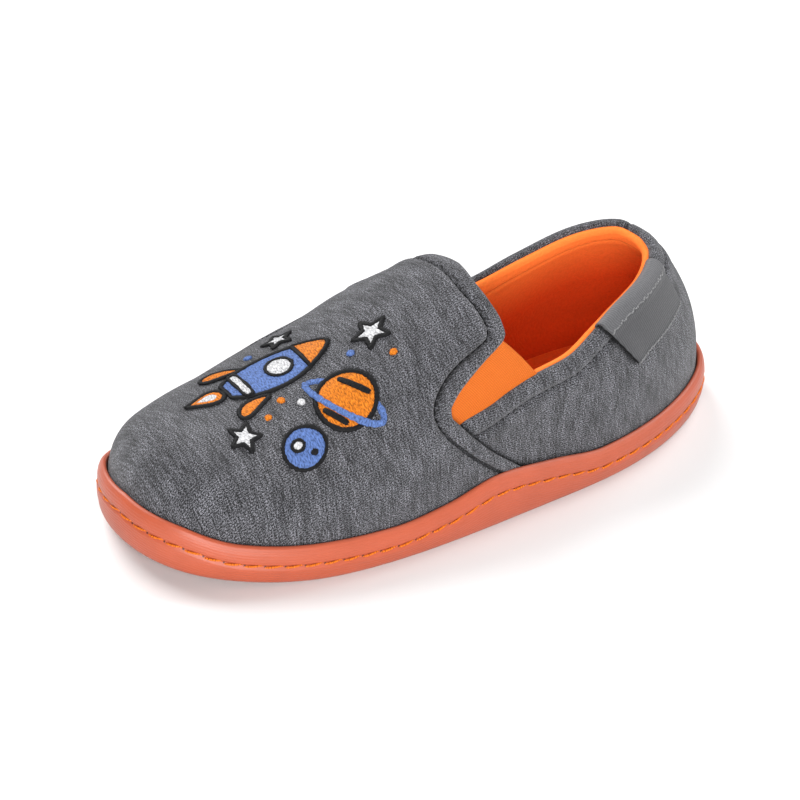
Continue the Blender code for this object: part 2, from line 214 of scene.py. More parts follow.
# Edge of the insole from underneath to its top: distance in from its inset, height over its underside
INSOLE_EDGE = ((0.4, 0.0), (0.0, 0.3), (-0.9, 1.4), (-1.5, 2.4), (-1.2, 3.3), (-0.3, 3.8), (1.0, 4.0),
               (3.5, 4.0), (6.0, 3.8))

# Rows of the vamp: over its body, at distances before the hem seam, and at shares of the hem behind it.
# Past the turned edges the cloth goes on inside for the tuck. Round the toe centre the knit lies flat
VAMP_HALF = 150
BODY_ROWS = 42
NEAR_SEAM = (12.0, 10.0, 8.2, 6.6, 5.3, 4.3, 3.5, 2.8, 2.2, 1.7, 1.3, 0.95, 0.65, 0.4, 0.2, 0.0)
HEM_SHARES = (0.04, 0.08, 0.13, 0.18, 0.25, 0.33, 0.42, 0.52, 0.62, 0.72, 0.81, 0.89, 0.95, 1.0)
SEAM_ROW = BODY_ROWS + len(NEAR_SEAM) - 2
SEAM_NEAR = 6.0
TUCK = (1.5, 3.0, 5.0, 7.0)
TOE_CENTRE = 0.15
# Depth below the collar down to which the rows of the quarters and their lining are evenly close
NEAR_RIM = 12.0

# Soft troughs and ridges of the jersey: place from the middle of the piece and along it, length, width,
# turn in degrees, height
CREASE_COLUMNS = ("across", "along", "length", "width", "turn", "height")
VAMP_CREASES = (
    (34.0, 92.0, 16.0, 5.0, 70.0, -0.7),
    (26.0, 96.0, 18.0, 5.0, 60.0, 0.6),
    (-30.0, 94.0, 18.0, 6.0, -65.0, -0.6),
    (44.0, 70.0, 26.0, 7.0, 30.0, 0.5),
    (52.0, 52.0, 24.0, 6.0, 15.0, -0.4),
    (-46.0, 60.0, 28.0, 7.0, -20.0, 0.5),
    (10.0, 106.0, 14.0, 6.0, 10.0, 0.4),
)
QUARTER_CREASES = (
    (62.0, 14.0, 12.0, 4.0, 60.0, -0.5),
    (48.0, 20.0, 16.0, 5.0, 40.0, 0.5),
    (30.0, 16.0, 14.0, 5.0, -30.0, -0.4),
    (-50.0, 18.0, 18.0, 5.0, 35.0, 0.5),
    (-30.0, 22.0, 16.0, 6.0, -20.0, -0.4),
)

# Gores, from foot to top: girths of the front edge, stations of the rear edge, how far the ends go under vamp
# and quarter, drop of the rear edge below the collar, and the top edge folded inward, by share of the height
# and depth
GORE_FRONT = (0.655, 0.464)
GORE_REAR = (0.432, 0.576)
GORE_UNDER_VAMP = 0.012
GORE_UNDER_QUARTER = 0.008
GORE_DROP = 3.0
GORE_FOLD = ((1.113, 0.15), (1.118, 0.45), (1.113, 0.75), (1.10, 0.95), (1.06, 1.0))
GORE_WALL = 0.9

# Bare collar label: stations of its ends at the rim and of its front at the foot, drop below the rim at both
# ends, height of the panel off the quarters, and the strip folded over the rim with its wavy edge
LABEL_FRONT = 0.722
LABEL_REAR = 0.924
LABEL_FOOT_FRONT = 0.772
LABEL_DROP = (16.0, 14.0)
LABEL_LIFT = 0.65
LABEL_WALL = 0.45
LABEL_SHARES = np.linspace(0, 1, 111)
STRIP_DROP = 2.0
STRIP_WAVE = 2.2
STRIP_WAVE_HIGH = 0.22
STRIP_RUN = 28.0
PANEL_FLAT = (0.035, 0.0175)
STRIP_FLAT = (0.0355, 0.010)

# Shapes of the embroidery, as seen flat: centre along the sole and round the girth from the crest,
# length, width, turn in degrees
MOTIF_COLUMNS = ("name", "kind", "along", "across", "length", "width", "turn")
MOTIFS = (
    ("motif_rocket", "hull", 50.0, -3.0, 34.0, 15.0, -6.0),
    ("motif_fin_outer", "fin", 37.8, 5.5, 11.5, 5.4, 12.0),
    ("motif_fin_inner", "fin", 39.8, -13.8, 11.5, 5.4, -24.0),
    ("motif_flame", "flame", 28.2, -5.3, 12.5, 7.5, -6.0),
    ("motif_planet", "disc", 60.0, 19.0, 17.0, 17.0, 0.0),
    ("motif_star_rear", "star", 76.0, 6.0, 10.0, 10.0, 20.0),
    ("motif_star_front", "star", 29.0, 14.0, 10.0, 10.0, 50.0),
    ("motif_star_crest", "star", 60.0, -15.0, 8.0, 8.0, 5.0),
)
MOTIF_THREADS = {"hull": "blue", "star": "white", "fin": "orange", "flame": "orange", "disc": "orange"}
HULL_TAPER = 0.42
NOSE_PLACE = 12.7

# Stitched details: shape they are placed by, kind, place along and across its axis, length, width, turn,
# thread, whether they lie on other stitches, and whether a dark outline goes round
DETAIL_COLUMNS = ("name", "by", "kind", "x", "y", "length", "width", "turn", "thread", "on_top", "outlined")
DETAILS = (
    ("detail_nose", "motif_rocket", "nose", NOSE_PLACE, 0.0, 34.0, 15.0, 0.0, "orange", True, True),
    ("detail_band", "motif_rocket", "band", -9.8, 0.0, 2.8, 11.2, 0.0, "white", True, True),
    ("detail_window", "motif_rocket", "disc", 2.4, 0.0, 7.4, 7.4, 0.0, "white", True, True),
    ("detail_core", "motif_flame", "flame", 0.8, 0.0, 6.6, 3.6, 0.0, "white", True, False),
    ("detail_stripe_rear", "motif_planet", "band", 3.9, -2.2, 10.5, 1.8, -60.0, "black", True, False),
    ("detail_stripe_front", "motif_planet", "band", -4.9, 2.8, 8.5, 1.8, -60.0, "black", True, False),
    ("detail_moon", "motif_planet", "disc", -17.0, 6.0, 13.0, 12.0, 0.0, "blue", False, True),
    ("detail_crater_large", "motif_planet", "disc", -18.6, 4.8, 3.6, 3.0, 0.0, "white", True, True),
    ("detail_crater_small", "motif_planet", "disc", -15.0, 8.4, 2.4, 2.0, 0.0, "black", True, False),
    ("detail_knot_a", "motif_planet", "disc", -10.5, -6.5, 2.2, 2.2, 0.0, "white", False, False),
    ("detail_knot_b", "motif_planet", "disc", 8.5, -11.5, 2.0, 2.0, 0.0, "blue", False, False),
    ("detail_knot_c", "motif_rocket", "disc", -3.5, 12.0, 2.2, 2.2, 0.0, "orange", False, False),
    ("detail_knot_d", "motif_rocket", "disc", -1.0, -12.0, 2.2, 2.2, 0.0, "blue", False, False),
    ("detail_knot_e", "motif_star_rear", "disc", -2.0, 9.0, 2.0, 2.0, 0.0, "orange", False, False),
    ("detail_knot_f", "motif_star_front", "disc", 8.0, 6.0, 2.0, 2.0, 0.0, "orange", False, False),
)
# Ring of the planet: length, width, turn in degrees, half of the cord's width
PLANET_RING = (25.0, 7.6, -60.0, 0.95)
# Levels of the embroidery over the vamp: foot of a patch, rise of a detail, middle and half height of the
# cords, and the share of a shape's cord that is a detail's
PATCH_FOOT = 0.2
DETAIL_HIGH = 0.5
OUTLINE_LEVEL = 0.4
OUTLINE_HIGH = 0.45
BORDER_LEVEL = 0.3
BORDER_HIGH = 0.35
BORDER_SHARE = 0.75

# Lamps: name, place and power in watts, all discs of one width in metres, turned to the shoe
LAMPS = (
    ("front", (1.216, -0.884, 0.547), 41.0),
    ("back_left", (-1.117, -0.177, 1.131), 35.5),
    ("back_right", (-0.177, 1.117, 1.131), 18.0),
    ("right", (0.852, 1.173, 0.676), 9.5),
)
LAMP_WIDTH = 1.2
WORLD_LIGHT = 0.03
FLOOR_HALF = 3.0

# Camera at the photograph's angle, for a square frame
VIEW_AZIMUTH = math.radians(52.641)
VIEW_ELEVATION = math.radians(31.630)
VIEW_ROLL = math.radians(3.448)
VIEW_DISTANCE = 1.17165
VIEW_TARGET = Vector((-0.01941, 0.00732, 0.00852))
VIEW_LENS = 181.2
VIEW_SENSOR = 36.0

# Scale at which a band texture has one wave for each unit
ONE_WAVE = math.pi / 10


def linear(code):
    """Colour of an sRGB hex code in linear light."""
    channels = [int(code[i:i + 2], 16) / 255 for i in (1, 3, 5)]
    return [c / 12.92 if c <= 0.04045 else ((c + 0.055) / 1.055) ** 2.4 for c in channels]


def length(name, description, millimetres):
    return bpy.props.FloatProperty(name=name, description=description, default=millimetres * MM,
                                   min=0.0, unit="LENGTH", subtype="DISTANCE")


def colour(name, description, code):
    return bpy.props.FloatVectorProperty(name=name, description=description, default=linear(code), size=3,
                                         min=0.0, max=1.0, subtype="COLOR")


class SlipperSizes(bpy.types.PropertyGroup):
    """Sizes of the slipper's cloth, thread and trim."""
    cloth: length("Cloth", "Thickness of the jersey", 0.8)
    fleece: length("Fleece", "Thickness of the lining", 0.6)
    vamp_roll: length("Vamp edge", "Radius of the turned edge of the vamp", 1.4)
    collar_roll: length("Collar edge", "Radius of the turned edge of the collar", 1.5)
    lining_roll: length("Lining edge", "Radius of the fleece roll inside the collar", 1.3)
    collar_hem: length("Collar hem", "Seam below the collar edge", 5.7)
    hem_stitch: length("Hem stitch", "Length of one stitch in the hems", 2.4)
    hem_thread: length("Hem thread", "Thickness of the hem thread", 0.7)
    sole_stitch: length("Sole stitch", "Length of one stitch in the sole wall", 5.7)
    sole_thread: length("Sole thread", "Thickness of the sole thread", 0.66)
    sole_crease: length("Sole crease", "Stitch crease below the lip of the sole", 5.6)
    thread_high: length("Embroidery", "Height of the embroidery off the vamp", 0.7)
    outline: length("Outline", "Thickness of the dark outline thread", 1.5)


class SlipperColours(bpy.types.PropertyGroup):
    """Colours of the slipper's materials."""
    jersey: colour("Jersey", "Middle grey of the heather jersey", "#323234")
    jersey_dark: colour("Jersey dark", "Dark fibres of the heather jersey", "#08080a")
    jersey_light: colour("Jersey light", "Light fibres of the heather jersey", "#707076")
    # The two fleece colours are lit and shaded copies of one fleece: painted light near the rim, painted
    # shade deep in the shoe
    fleece: colour("Fleece", "Napped lining near the rim, and insole", "#ed7935")
    fleece_painted_shade: colour("Fleece inside", "Napped lining deep in the shoe", "#d24718")
    elastic: colour("Elastic", "Ribbed gores", "#bf5e1d")
    rubber: colour("Rubber", "Moulded sole", "#a64c31")
    # Stitch holes are painted as dark spots: painted shade inside each hole
    stitch_hole_shade: colour("Stitch hole", "Punched holes of the sole's stitches", "#4a160c")
    tape: colour("Tape", "Woven strip of the collar label", "#464649")
    tape_dark: colour("Tape dark", "Woven panel of the collar label", "#323235")
    selvedge_thread: colour("Selvedge", "Pale edge threads of the collar label", "#717172")
    # The hem thread is a dark thread, made near-black so that it also stands for painted shade in the seam
    # grooves
    hem_thread: colour("Hem thread", "Thread of the hems", "#0c0c0e")
    lining_thread: colour("Lining thread", "Thread of the lining's seam", "#b44a1a")
    sole_thread: colour("Sole thread", "Thread in the sole wall", "#c56418")
    blue_thread: colour("Blue thread", "Embroidery of hull, moon and ring", "#4a6193")
    orange_thread: colour("Orange thread", "Embroidery of nose, fins, flame and planet", "#b46416")
    white_thread: colour("White thread", "Embroidery of stars, window and band", "#aeaeb0")
    black_thread: colour("Black thread", "Outlines of the embroidery", "#0d0d0f")
    floor: colour("Floor", "Pale floor of the stage", "#e1e1e1")


def rows(columns, table):
    """The table as one array for each named column."""
    return {name: np.array([row[i] for row in table]) for i, name in enumerate(columns)}


def spline(knots, values):
    """Smooth curve through the values, with free ends."""
    count = len(knots)
    step = np.diff(knots)
    slope = np.diff(values) / step
    system = np.eye(count)
    right = np.zeros(count)
    for i in range(1, count - 1):
        system[i, i - 1:i + 2] = step[i - 1], 2 * (step[i - 1] + step[i]), step[i]
        right[i] = 6 * (slope[i] - slope[i - 1])
    bend = np.linalg.solve(system, right)

    def value(x):
        i = np.clip(np.searchsorted(knots, x) - 1, 0, count - 2)
        d = x - knots[i]
        first = slope[i] - step[i] * (2 * bend[i] + bend[i + 1]) / 6
        return values[i] + d * (first + d * (bend[i] / 2 + d * (bend[i + 1] - bend[i]) / (6 * step[i])))

    return value


def eased(knots, values):
    """Curve through the values that never swings past them."""
    slope = np.diff(values) / np.diff(knots)
    flat = slope[:-1] * slope[1:] <= 0
    total = np.where(flat, 1.0, slope[:-1] + slope[1:])
    inner = np.where(flat, 0.0, 2 * slope[:-1] * slope[1:] / total)
    lean = np.concatenate(([slope[0]], inner, [slope[-1]]))

    def value(x):
        i = np.clip(np.searchsorted(knots, x) - 1, 0, len(knots) - 2)
        h = knots[i + 1] - knots[i]
        u = (x - knots[i]) / h
        cubic = u * u * (3 - 2 * u) * (values[i + 1] - values[i])
        return values[i] + cubic + h * u * (1 - u) * ((1 - u) * lean[i] - u * lean[i + 1])

    return value


def turn_of(station):
    return np.arccos(1 - 2 * np.asarray(station, float)) / math.pi


def station_of(turn):
    return (1 - np.cos(math.pi * np.asarray(turn, float))) / 2


def rise(x, start, reach):
    """0 up to the start, 1 past the reach beyond it, and smooth between."""
    x = np.clip((x - start) / reach, 0, 1)
    return x * x * (3 - 2 * x)


def bell(x, centre, width):
    """Soft ridge of height 1."""
    return np.exp(-((x - centre) / width) ** 2)


def arch(x, power):
    """Crown of height 1 between 0 and 1."""
    return np.sin(math.pi * np.clip(x, 0, 1)) ** power


def held(place):
    """1 over the form and less near its foot, where the sole holds the cloth."""
    return rise(HELD_FROM - place, 0.0, HELD_REACH)


SECTION = rows(SECTION_COLUMNS, SECTIONS)
SECTION_TURN = turn_of(SECTION["station"])
outer_edge = spline(SECTION_TURN, BALL_WIDTH * SECTION["outer"])
inner_edge = spline(SECTION_TURN, BALL_WIDTH * SECTION["inner"])
crest_height = spline(SECTION_TURN, INSTEP_HEIGHT * SECTION["crest"])
fullness = spline(SECTION_TURN, SECTION["fullness"])
wall_top = eased(SECTION_TURN, SECTION["wall_top"])
EDGE = rows(EDGE_COLUMNS, EDGES)
vamp_edge = eased(EDGE["girth"], EDGE["edge"])
vamp_seam = eased(EDGE["girth"], EDGE["seam"])
COLLAR_LINE = rows(COLLAR_COLUMNS, COLLAR)
collar_height = eased(COLLAR_LINE["station"], HEEL_HEIGHT * COLLAR_LINE["height"])


def collar_top(station, side):
    """Height of the collar's edge, a little higher on the inner side and lower at the outer heel."""
    within = np.asarray(side) < 0
    higher = np.where(within, rise(station, *INNER_RISE), rise(station, *OUTER_RISE))
    past = np.where(within, 2 - station, station)
    dip = rise(past, *DIP_START) * (1 - rise(past, *DIP_END))
    return collar_height(station) + COLLAR_RISE * higher - COLLAR_DIP * dip


def toe_rise(turn):
    """Height of the tread off the floor."""
    return TOE_SPRING * np.clip(1 - station_of(turn) / SPRING_REACH, 0, 1) ** 2


def plan(turn, outer, out):
    """Point of the sole's outline, moved out along its normal."""
    turn = np.asarray(turn, float)
    side = np.where(outer, 1.0, -1.0)

    def edge(at):
        return np.where(outer, outer_edge(at), inner_edge(at))

    low = np.clip(turn - 1e-4, 0, 1)
    high = np.clip(turn + 1e-4, 0, 1)
    dx = edge(high) - edge(low)
    dy = (station_of(high) - station_of(low)) * SOLE_LENGTH
    span = np.hypot(dx, dy)
    tip = (turn < 1e-6) | (turn > 1 - 1e-6)
    normal_x = np.where(tip, 0.0, side * dy / span)
    normal_y = np.where(tip, np.sign(turn - 0.5), -side * dx / span)
    y = (station_of(turn) - 0.5) * SOLE_LENGTH
    return edge(turn) + out * normal_x, y + out * normal_y


def lean(z, low, high):
    """How far a height has leant in, between the two heights of an end of the form."""
    return np.clip((z - low) / (high - low), 0, LEAN_MOST) ** LEAN_POWER


def form(turn, girth):
    """Point of the upper's outer face."""
    turn, girth = np.broadcast_arrays(np.asarray(turn, float), np.asarray(girth, float))
    base = FORM_BASE + toe_rise(turn)
    outer_x, outer_y = plan(turn, True, -WELT)
    inner_x, inner_y = plan(turn, False, -WELT)
    mid_x, mid_y = (outer_x + inner_x) / 2, (outer_y + inner_y) / 2
    foot_x = np.where(girth >= 0, outer_x, inner_x)
    foot_y = np.where(girth >= 0, outer_y, inner_y)
    angle = (1 - np.clip(np.abs(girth), 0, 1)) * math.pi / 2
    power = 2 / fullness(turn)
    across = np.cos(angle) ** power
    up = np.sin(angle) ** power
    below = np.clip(np.abs(girth) - 1, 0, 1) * 10 * (FORM_BASE - CUP_FLOOR - GAP)
    x = mid_x + (foot_x - mid_x) * across
    y = mid_y + (foot_y - mid_y) * across
    z = base + (crest_height(turn) - base) * up - below
    toe = np.clip(1 - station_of(turn) / TOE_SPAN, 0, 1) ** END_POWER
    heel = np.clip(1 - (1 - station_of(turn)) / HEEL_SPAN, 0, 1) ** END_POWER
    y = y + TOE_BACK * toe * lean(z, TOE_LOW, TOE_HIGH) - HEEL_LEAN * heel * lean(z, HEEL_LOW, HEEL_HIGH)
    return np.stack([x, y, z], axis=-1)


def unit(vectors):
    return vectors / np.maximum(np.linalg.norm(vectors, axis=-1, keepdims=True), 1e-12)


def outward(turn, girth):
    """Outward normal of the form."""
    turn, girth = np.broadcast_arrays(np.asarray(turn, float), np.asarray(girth, float))
    along = form(np.clip(turn + 1e-4, 0, 1), girth) - form(np.clip(turn - 1e-4, 0, 1), girth)
    round_it = form(turn, girth + 1e-4) - form(turn, girth - 1e-4)
    return unit(np.cross(round_it, along))


def skin(turn, girth, lift):
    """Point of the form lifted along its normal."""
    return form(turn, girth) + np.asarray(lift)[..., None] * outward(turn, girth)


def girth_at(turn, height):
    """Girth of a height on the form."""
    base = FORM_BASE + toe_rise(turn)
    share = np.clip((height - base) / (crest_height(turn) - base), 0, 1)
    return 1 - np.arcsin(share ** (fullness(turn) / 2)) * 2 / math.pi


def run_along(points, axis):
    """Distance run along one axis of a grid of points."""
    steps = np.linalg.norm(np.diff(points, axis=axis), axis=-1)
    start = np.zeros_like(np.take(steps, [0], axis=axis))
    return np.concatenate((start, np.cumsum(steps, axis=axis)), axis=axis)


def line_run(line):
    """Distance run along one line of points."""
    return run_along(line[None], 1)[0]


def from_middle(points):
    """Distance along each row of a grid from its middle column."""
    across = run_along(points, 1)
    middle = points.shape[1] // 2
    return across - across[:, middle:middle + 1]


def unrolled(points):
    """Pattern of a grid: along each row from its middle, and along each column."""
    return np.stack([from_middle(points), run_along(points, 0)], axis=-1)


def resampled(line, run, places):
    """Values of a line at distances along it."""
    return np.stack([np.interp(places, run, line[:, k]) for k in range(3)], axis=-1)


def on_vamp(flat, lift):
    """Points over the vamp for places given flat, along the sole and round the girth from the crest."""
    turns = turn_of(np.clip(flat[:, 0] / SOLE_LENGTH, 0, 1))
    steps = np.linspace(0, 1, 121)
    side = np.where(flat[:, 1] < 0, -1.0, 1.0)
    run = run_along(form(turns[:, None], side[:, None] * steps), 1)
    girths = np.array([np.interp(abs(place), line, steps) for place, line in zip(flat[:, 1], run)])
    return skin(turns, side * girths, lift)


def creased(across, along, table):
    """Height of the listed troughs and ridges over a pattern."""
    height = np.zeros_like(across)
    for row in table:
        crease = dict(zip(CREASE_COLUMNS, row))
        turned = math.radians(crease["turn"])
        dx = across - crease["across"]
        dy = along - crease["along"]
        long_way = dx * math.cos(turned) + dy * math.sin(turned)
        short_way = dy * math.cos(turned) - dx * math.sin(turned)
        ridge = crease["height"] * bell(long_way, 0.0, crease["length"])
        height += ridge * bell(short_way, 0.0, crease["width"])
    return height


def rolled(start, normal, onward, radius, steps, tuck):
    """Rows of a turned edge: round a half circle and back on the other side for the tuck."""
    radius = np.broadcast_to(radius, start.shape[:1])[:, None]
    turned = []
    for angle in np.linspace(0, math.pi, steps + 1)[1:]:
        turned.append(start + radius * (math.sin(angle) * onward - (1 - math.cos(angle)) * normal))
    for back in tuck:
        turned.append(start - 2 * radius * normal - back * onward)
    return np.array(turned)


def edge_way(line, normal, hint):
    """Direction across an edge line, in the cloth, towards the hint."""
    onward = unit(np.cross(normal, unit(np.gradient(line, axis=0))))
    sign = np.sign(np.sum(onward * hint, axis=-1, keepdims=True))
    return onward * np.where(sign == 0, 1.0, sign)


def mesh_object(name, shape, material):
    """Object of a finished bmesh, smooth."""
    mesh = bpy.data.meshes.new(name)
    shape.to_mesh(mesh)
    shape.free()
    mesh.shade_smooth()
    mesh.materials.append(material)
    piece = bpy.data.objects.new(name, mesh)
    bpy.context.scene.collection.objects.link(piece)
    return piece


def laid_shape(points, pattern, seam=None):
    """Bmesh grid laid through rows of points, carrying its pattern and the painted shade each point gets in a
    seam.
    """
    count, columns = points.shape[:2]
    shape = bmesh.new()
    bmesh.ops.create_grid(shape, x_segments=columns - 1, y_segments=count - 1, size=0.5)
    layer = shape.loops.layers.uv.new("pattern")
    # The seam layer carries painted shade for the jersey and fleece materials
    depth = shape.verts.layers.float.new("seam")
    shape.verts.index_update()
    places = []
    for vert in shape.verts:
        places.append((round((vert.co.y + 0.5) * (count - 1)), round((vert.co.x + 0.5) * (columns - 1))))
    for vert, place in zip(shape.verts, places):
        vert.co = points[place] * MM
        vert[depth] = 0.0 if seam is None else seam[place]
    for face in shape.faces:
        for corner in face.loops:
            corner[layer].uv = pattern[places[corner.vert.index]]
    bmesh.ops.remove_doubles(shape, verts=shape.verts, dist=2e-6)
    bmesh.ops.dissolve_degenerate(shape, edges=shape.edges, dist=1e-7)
    bmesh.ops.recalc_face_normals(shape, faces=shape.faces)
    return shape


def laid_solid(name, points, pattern, material):
    """Closed piece whose grid meets itself at its ends."""
    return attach(mesh_object(name, laid_shape(points, pattern), material), BODY)


def laid_cloth(name, points, pattern, material, wall, seam=None, facing_in=False):
    """Sheet laid through rows of points, given its wall on the side away from its face."""
    shape = laid_shape(points, pattern, seam)
    inside = Vector((0.0, 0.0, 0.02))
    away = 0.0
    for face in shape.faces:
        away += (face.calc_center_median() - inside).dot(face.normal) * face.calc_area()
    if (away < 0) != facing_in:
        bmesh.ops.reverse_faces(shape, faces=shape.faces)
    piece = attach(mesh_object(name, shape, material), BODY)
    solidify = piece.modifiers.new("wall", "SOLIDIFY")
    solidify.thickness = wall * MM
    solidify.offset = -1.0
    return piece


def rgba(channels):
    return (*channels, 1.0)


def feed(tree, node, inputs):
    """Links or sets the inputs of a node."""
    for key, value in inputs.items():
        if isinstance(value, bpy.types.NodeSocket):
            tree.links.new(value, node.inputs[key])
        else:
            node.inputs[key].default_value = value


def add_node(tree, kind, output, inputs, **settings):
    """Adds a node with its settings and inputs, and gives one of its outputs."""
    node = tree.nodes.new("ShaderNode" + kind)
    for key, value in settings.items():
        setattr(node, key, value)
    feed(tree, node, inputs)
    return node.outputs[output]


def made_once(recipe):
    """Material of a name, made by the recipe if there is none yet. The recipe gives the shader's inputs."""
    def material_of(name, *values):
        material = bpy.data.materials.get(name)
        if material is None:
            material = bpy.data.materials.new(name)
            material.use_nodes = True
            tree = material.node_tree
            inputs = recipe(functools.partial(add_node, tree), *values)
            feed(tree, tree.nodes["Principled BSDF"], inputs)
        return material

    return material_of


@made_once
def jersey_material(add, colours):
    """Brushed heather jersey: salt-and-pepper fibres in faint wales round the foot, matt and fuzzy."""
    place = add("UVMap", "UV", {}, uv_map="pattern")
    # Loops of the knit show as dashes 0.26 mm wide and 0.48 mm long, along the foot
    dash = add("Mapping", "Vector", {"Vector": place, "Scale": (1 / 0.26, 1 / 0.48, 1.0)})
    fleck = add("TexNoise", "Fac", {"Vector": dash, "Scale": 1.0, "Detail": 2.5, "Roughness": 0.75},
                noise_dimensions="2D")
    # Rows of the knit 0.7 mm apart, wavering
    row = add("TexWave", "Fac", {"Vector": place, "Scale": ONE_WAVE / 0.70, "Distortion": 2.0, "Detail": 2.0,
                                 "Detail Scale": 2.0}, wave_type="BANDS", bands_direction="X")
    knit = add("Math", "Value", {0: row, 1: 0.06, 2: fleck}, operation="MULTIPLY_ADD")
    fibre = add("ValToRGB", "Color", {"Fac": knit})
    stops = fibre.node.color_ramp.elements
    stops.new(0.535)
    dyes = (colours.jersey_dark, colours.jersey, colours.jersey_light)
    for stop, position, dye in zip(stops, (0.44, 0.535, 0.63), dyes):
        stop.position = position
        stop.color = rgba(dye)
    # Wales that show as broken streaks 5 mm long and 0.6 mm apart, and soft bands 3.5 mm apart
    streak_place = add("Mapping", "Vector", {"Vector": place, "Scale": (1 / 5.0, 1 / 0.6, 1.0)})
    streak = add("TexNoise", "Fac", {"Vector": streak_place, "Scale": 1.0, "Detail": 1.0},
                 noise_dimensions="2D")
    band_place = add("Mapping", "Vector", {"Vector": place, "Scale": (1 / 10.0, 1 / 3.5, 1.0)})
    band = add("TexNoise", "Fac", {"Vector": band_place, "Scale": 1.0, "Detail": 2.0}, noise_dimensions="2D")
    wale = add("Math", "Value", {0: band, 1: 0.8, 2: streak}, operation="MULTIPLY_ADD")
    shade = add("MapRange", "Result", {"Value": wale, "From Min": 0.5, "From Max": 1.3, "To Min": 0.36,
                                       "To Max": 1.64})
    # Painted shade: the jersey is darkened and loses its sheen in the seam grooves, along the lap edge, on
    # the tuck and in front of the label's front edge
    deep = add("Attribute", "Fac", {}, attribute_name="seam")
    painted_shade_factor = add("MapRange", "Result", {"Value": deep, "To Min": 1.0, "To Max": 0.06})
    tone = add("Math", "Value", {0: shade, 1: painted_shade_factor}, operation="MULTIPLY")
    return {
        "Base Color": add("VectorMath", "Vector", {0: fibre, 1: tone}, operation="MULTIPLY"),
        "Normal": add("Bump", "Normal", {"Height": knit, "Strength": 0.5, "Distance": 0.25 * MM}),
        "Roughness": 0.95,
        "Specular IOR Level": 0.2,
        "Sheen Weight": add("Math", "Value", {0: painted_shade_factor, 1: 0.12}, operation="MULTIPLY"),
        "Sheen Roughness": 0.6,
    }


@made_once
def fleece_material(add, rim_colour, painted_shade_colour):
    """Napped polyester fleece: dense short pile in small clumps, with painted light near the rim and painted
    shade deep inside.
    """
    place = add("TexCoord", "Object", {})
    # Pile in clumps about 0.8 mm across
    clump = add("TexNoise", "Fac", {"Vector": place, "Scale": 1 / (0.8 * MM), "Detail": 2.0,
                                    "Roughness": 0.6})
    shade = add("MapRange", "Result", {"Value": clump, "From Min": 0.3, "From Max": 0.7, "To Min": 0.92,
                                       "To Max": 1.06})
    # Painted shade: from 12 to 34 mm down the wall the pile turns from the rim colour to the darker colour,
    # and it is darkened in the seam groove
    drop = add("SeparateXYZ", "Y", {"Vector": add("UVMap", "UV", {}, uv_map="pattern")})
    pressed = add("MapRange", "Result", {"Value": drop, "From Min": 12.0, "From Max": 34.0})
    painted_depth_colour = add("Mix", 2, {0: pressed, 6: rgba(rim_colour), 7: rgba(painted_shade_colour)}, data_type="RGBA")
    deep = add("Attribute", "Fac", {}, attribute_name="seam")
    painted_shade_factor = add("MapRange", "Result", {"Value": deep, "To Min": 1.0, "To Max": 0.3})
    tone = add("Math", "Value", {0: shade, 1: painted_shade_factor}, operation="MULTIPLY")
    return {
        "Base Color": add("VectorMath", "Vector", {0: painted_depth_colour, 1: tone}, operation="MULTIPLY"),
        "Normal": add("Bump", "Normal", {"Height": clump, "Strength": 0.6, "Distance": 0.5 * MM}),
        "Roughness": 1.0,
        "Specular IOR Level": 0.1,
        "Sheen Weight": 0.35,
        "Sheen Roughness": 0.5,
        "Sheen Tint": rgba(rim_colour),
    }


@made_once
def elastic_material(add, dye):
    """Woven rib elastic: fine cords side by side, crossed by thin threads, with a dull shine."""
    place = add("UVMap", "UV", {}, uv_map="pattern")
    # Ribs 0.6 mm apart, crossed by threads 1 mm apart
    rib = add("TexWave", "Fac", {"Vector": place, "Scale": ONE_WAVE / 0.6},
              wave_type="BANDS", bands_direction="Y")
    pick = add("TexWave", "Fac", {"Vector": place, "Scale": ONE_WAVE / 1.0},
               wave_type="BANDS", bands_direction="X")
    weave = add("Math", "Value", {0: pick, 1: 0.35, 2: rib}, operation="MULTIPLY_ADD")
    shade = add("MapRange", "Result", {"Value": weave, "From Min": 0.0, "From Max": 1.3, "To Min": 0.90,
                                       "To Max": 1.10})
    return {
        "Base Color": add("VectorMath", "Vector", {0: tuple(dye), 1: shade}, operation="MULTIPLY"),
        "Normal": add("Bump", "Normal", {"Height": weave, "Strength": 0.6, "Distance": 0.3 * MM}),
        "Roughness": 0.75,
        "Specular IOR Level": 0.15,
    }


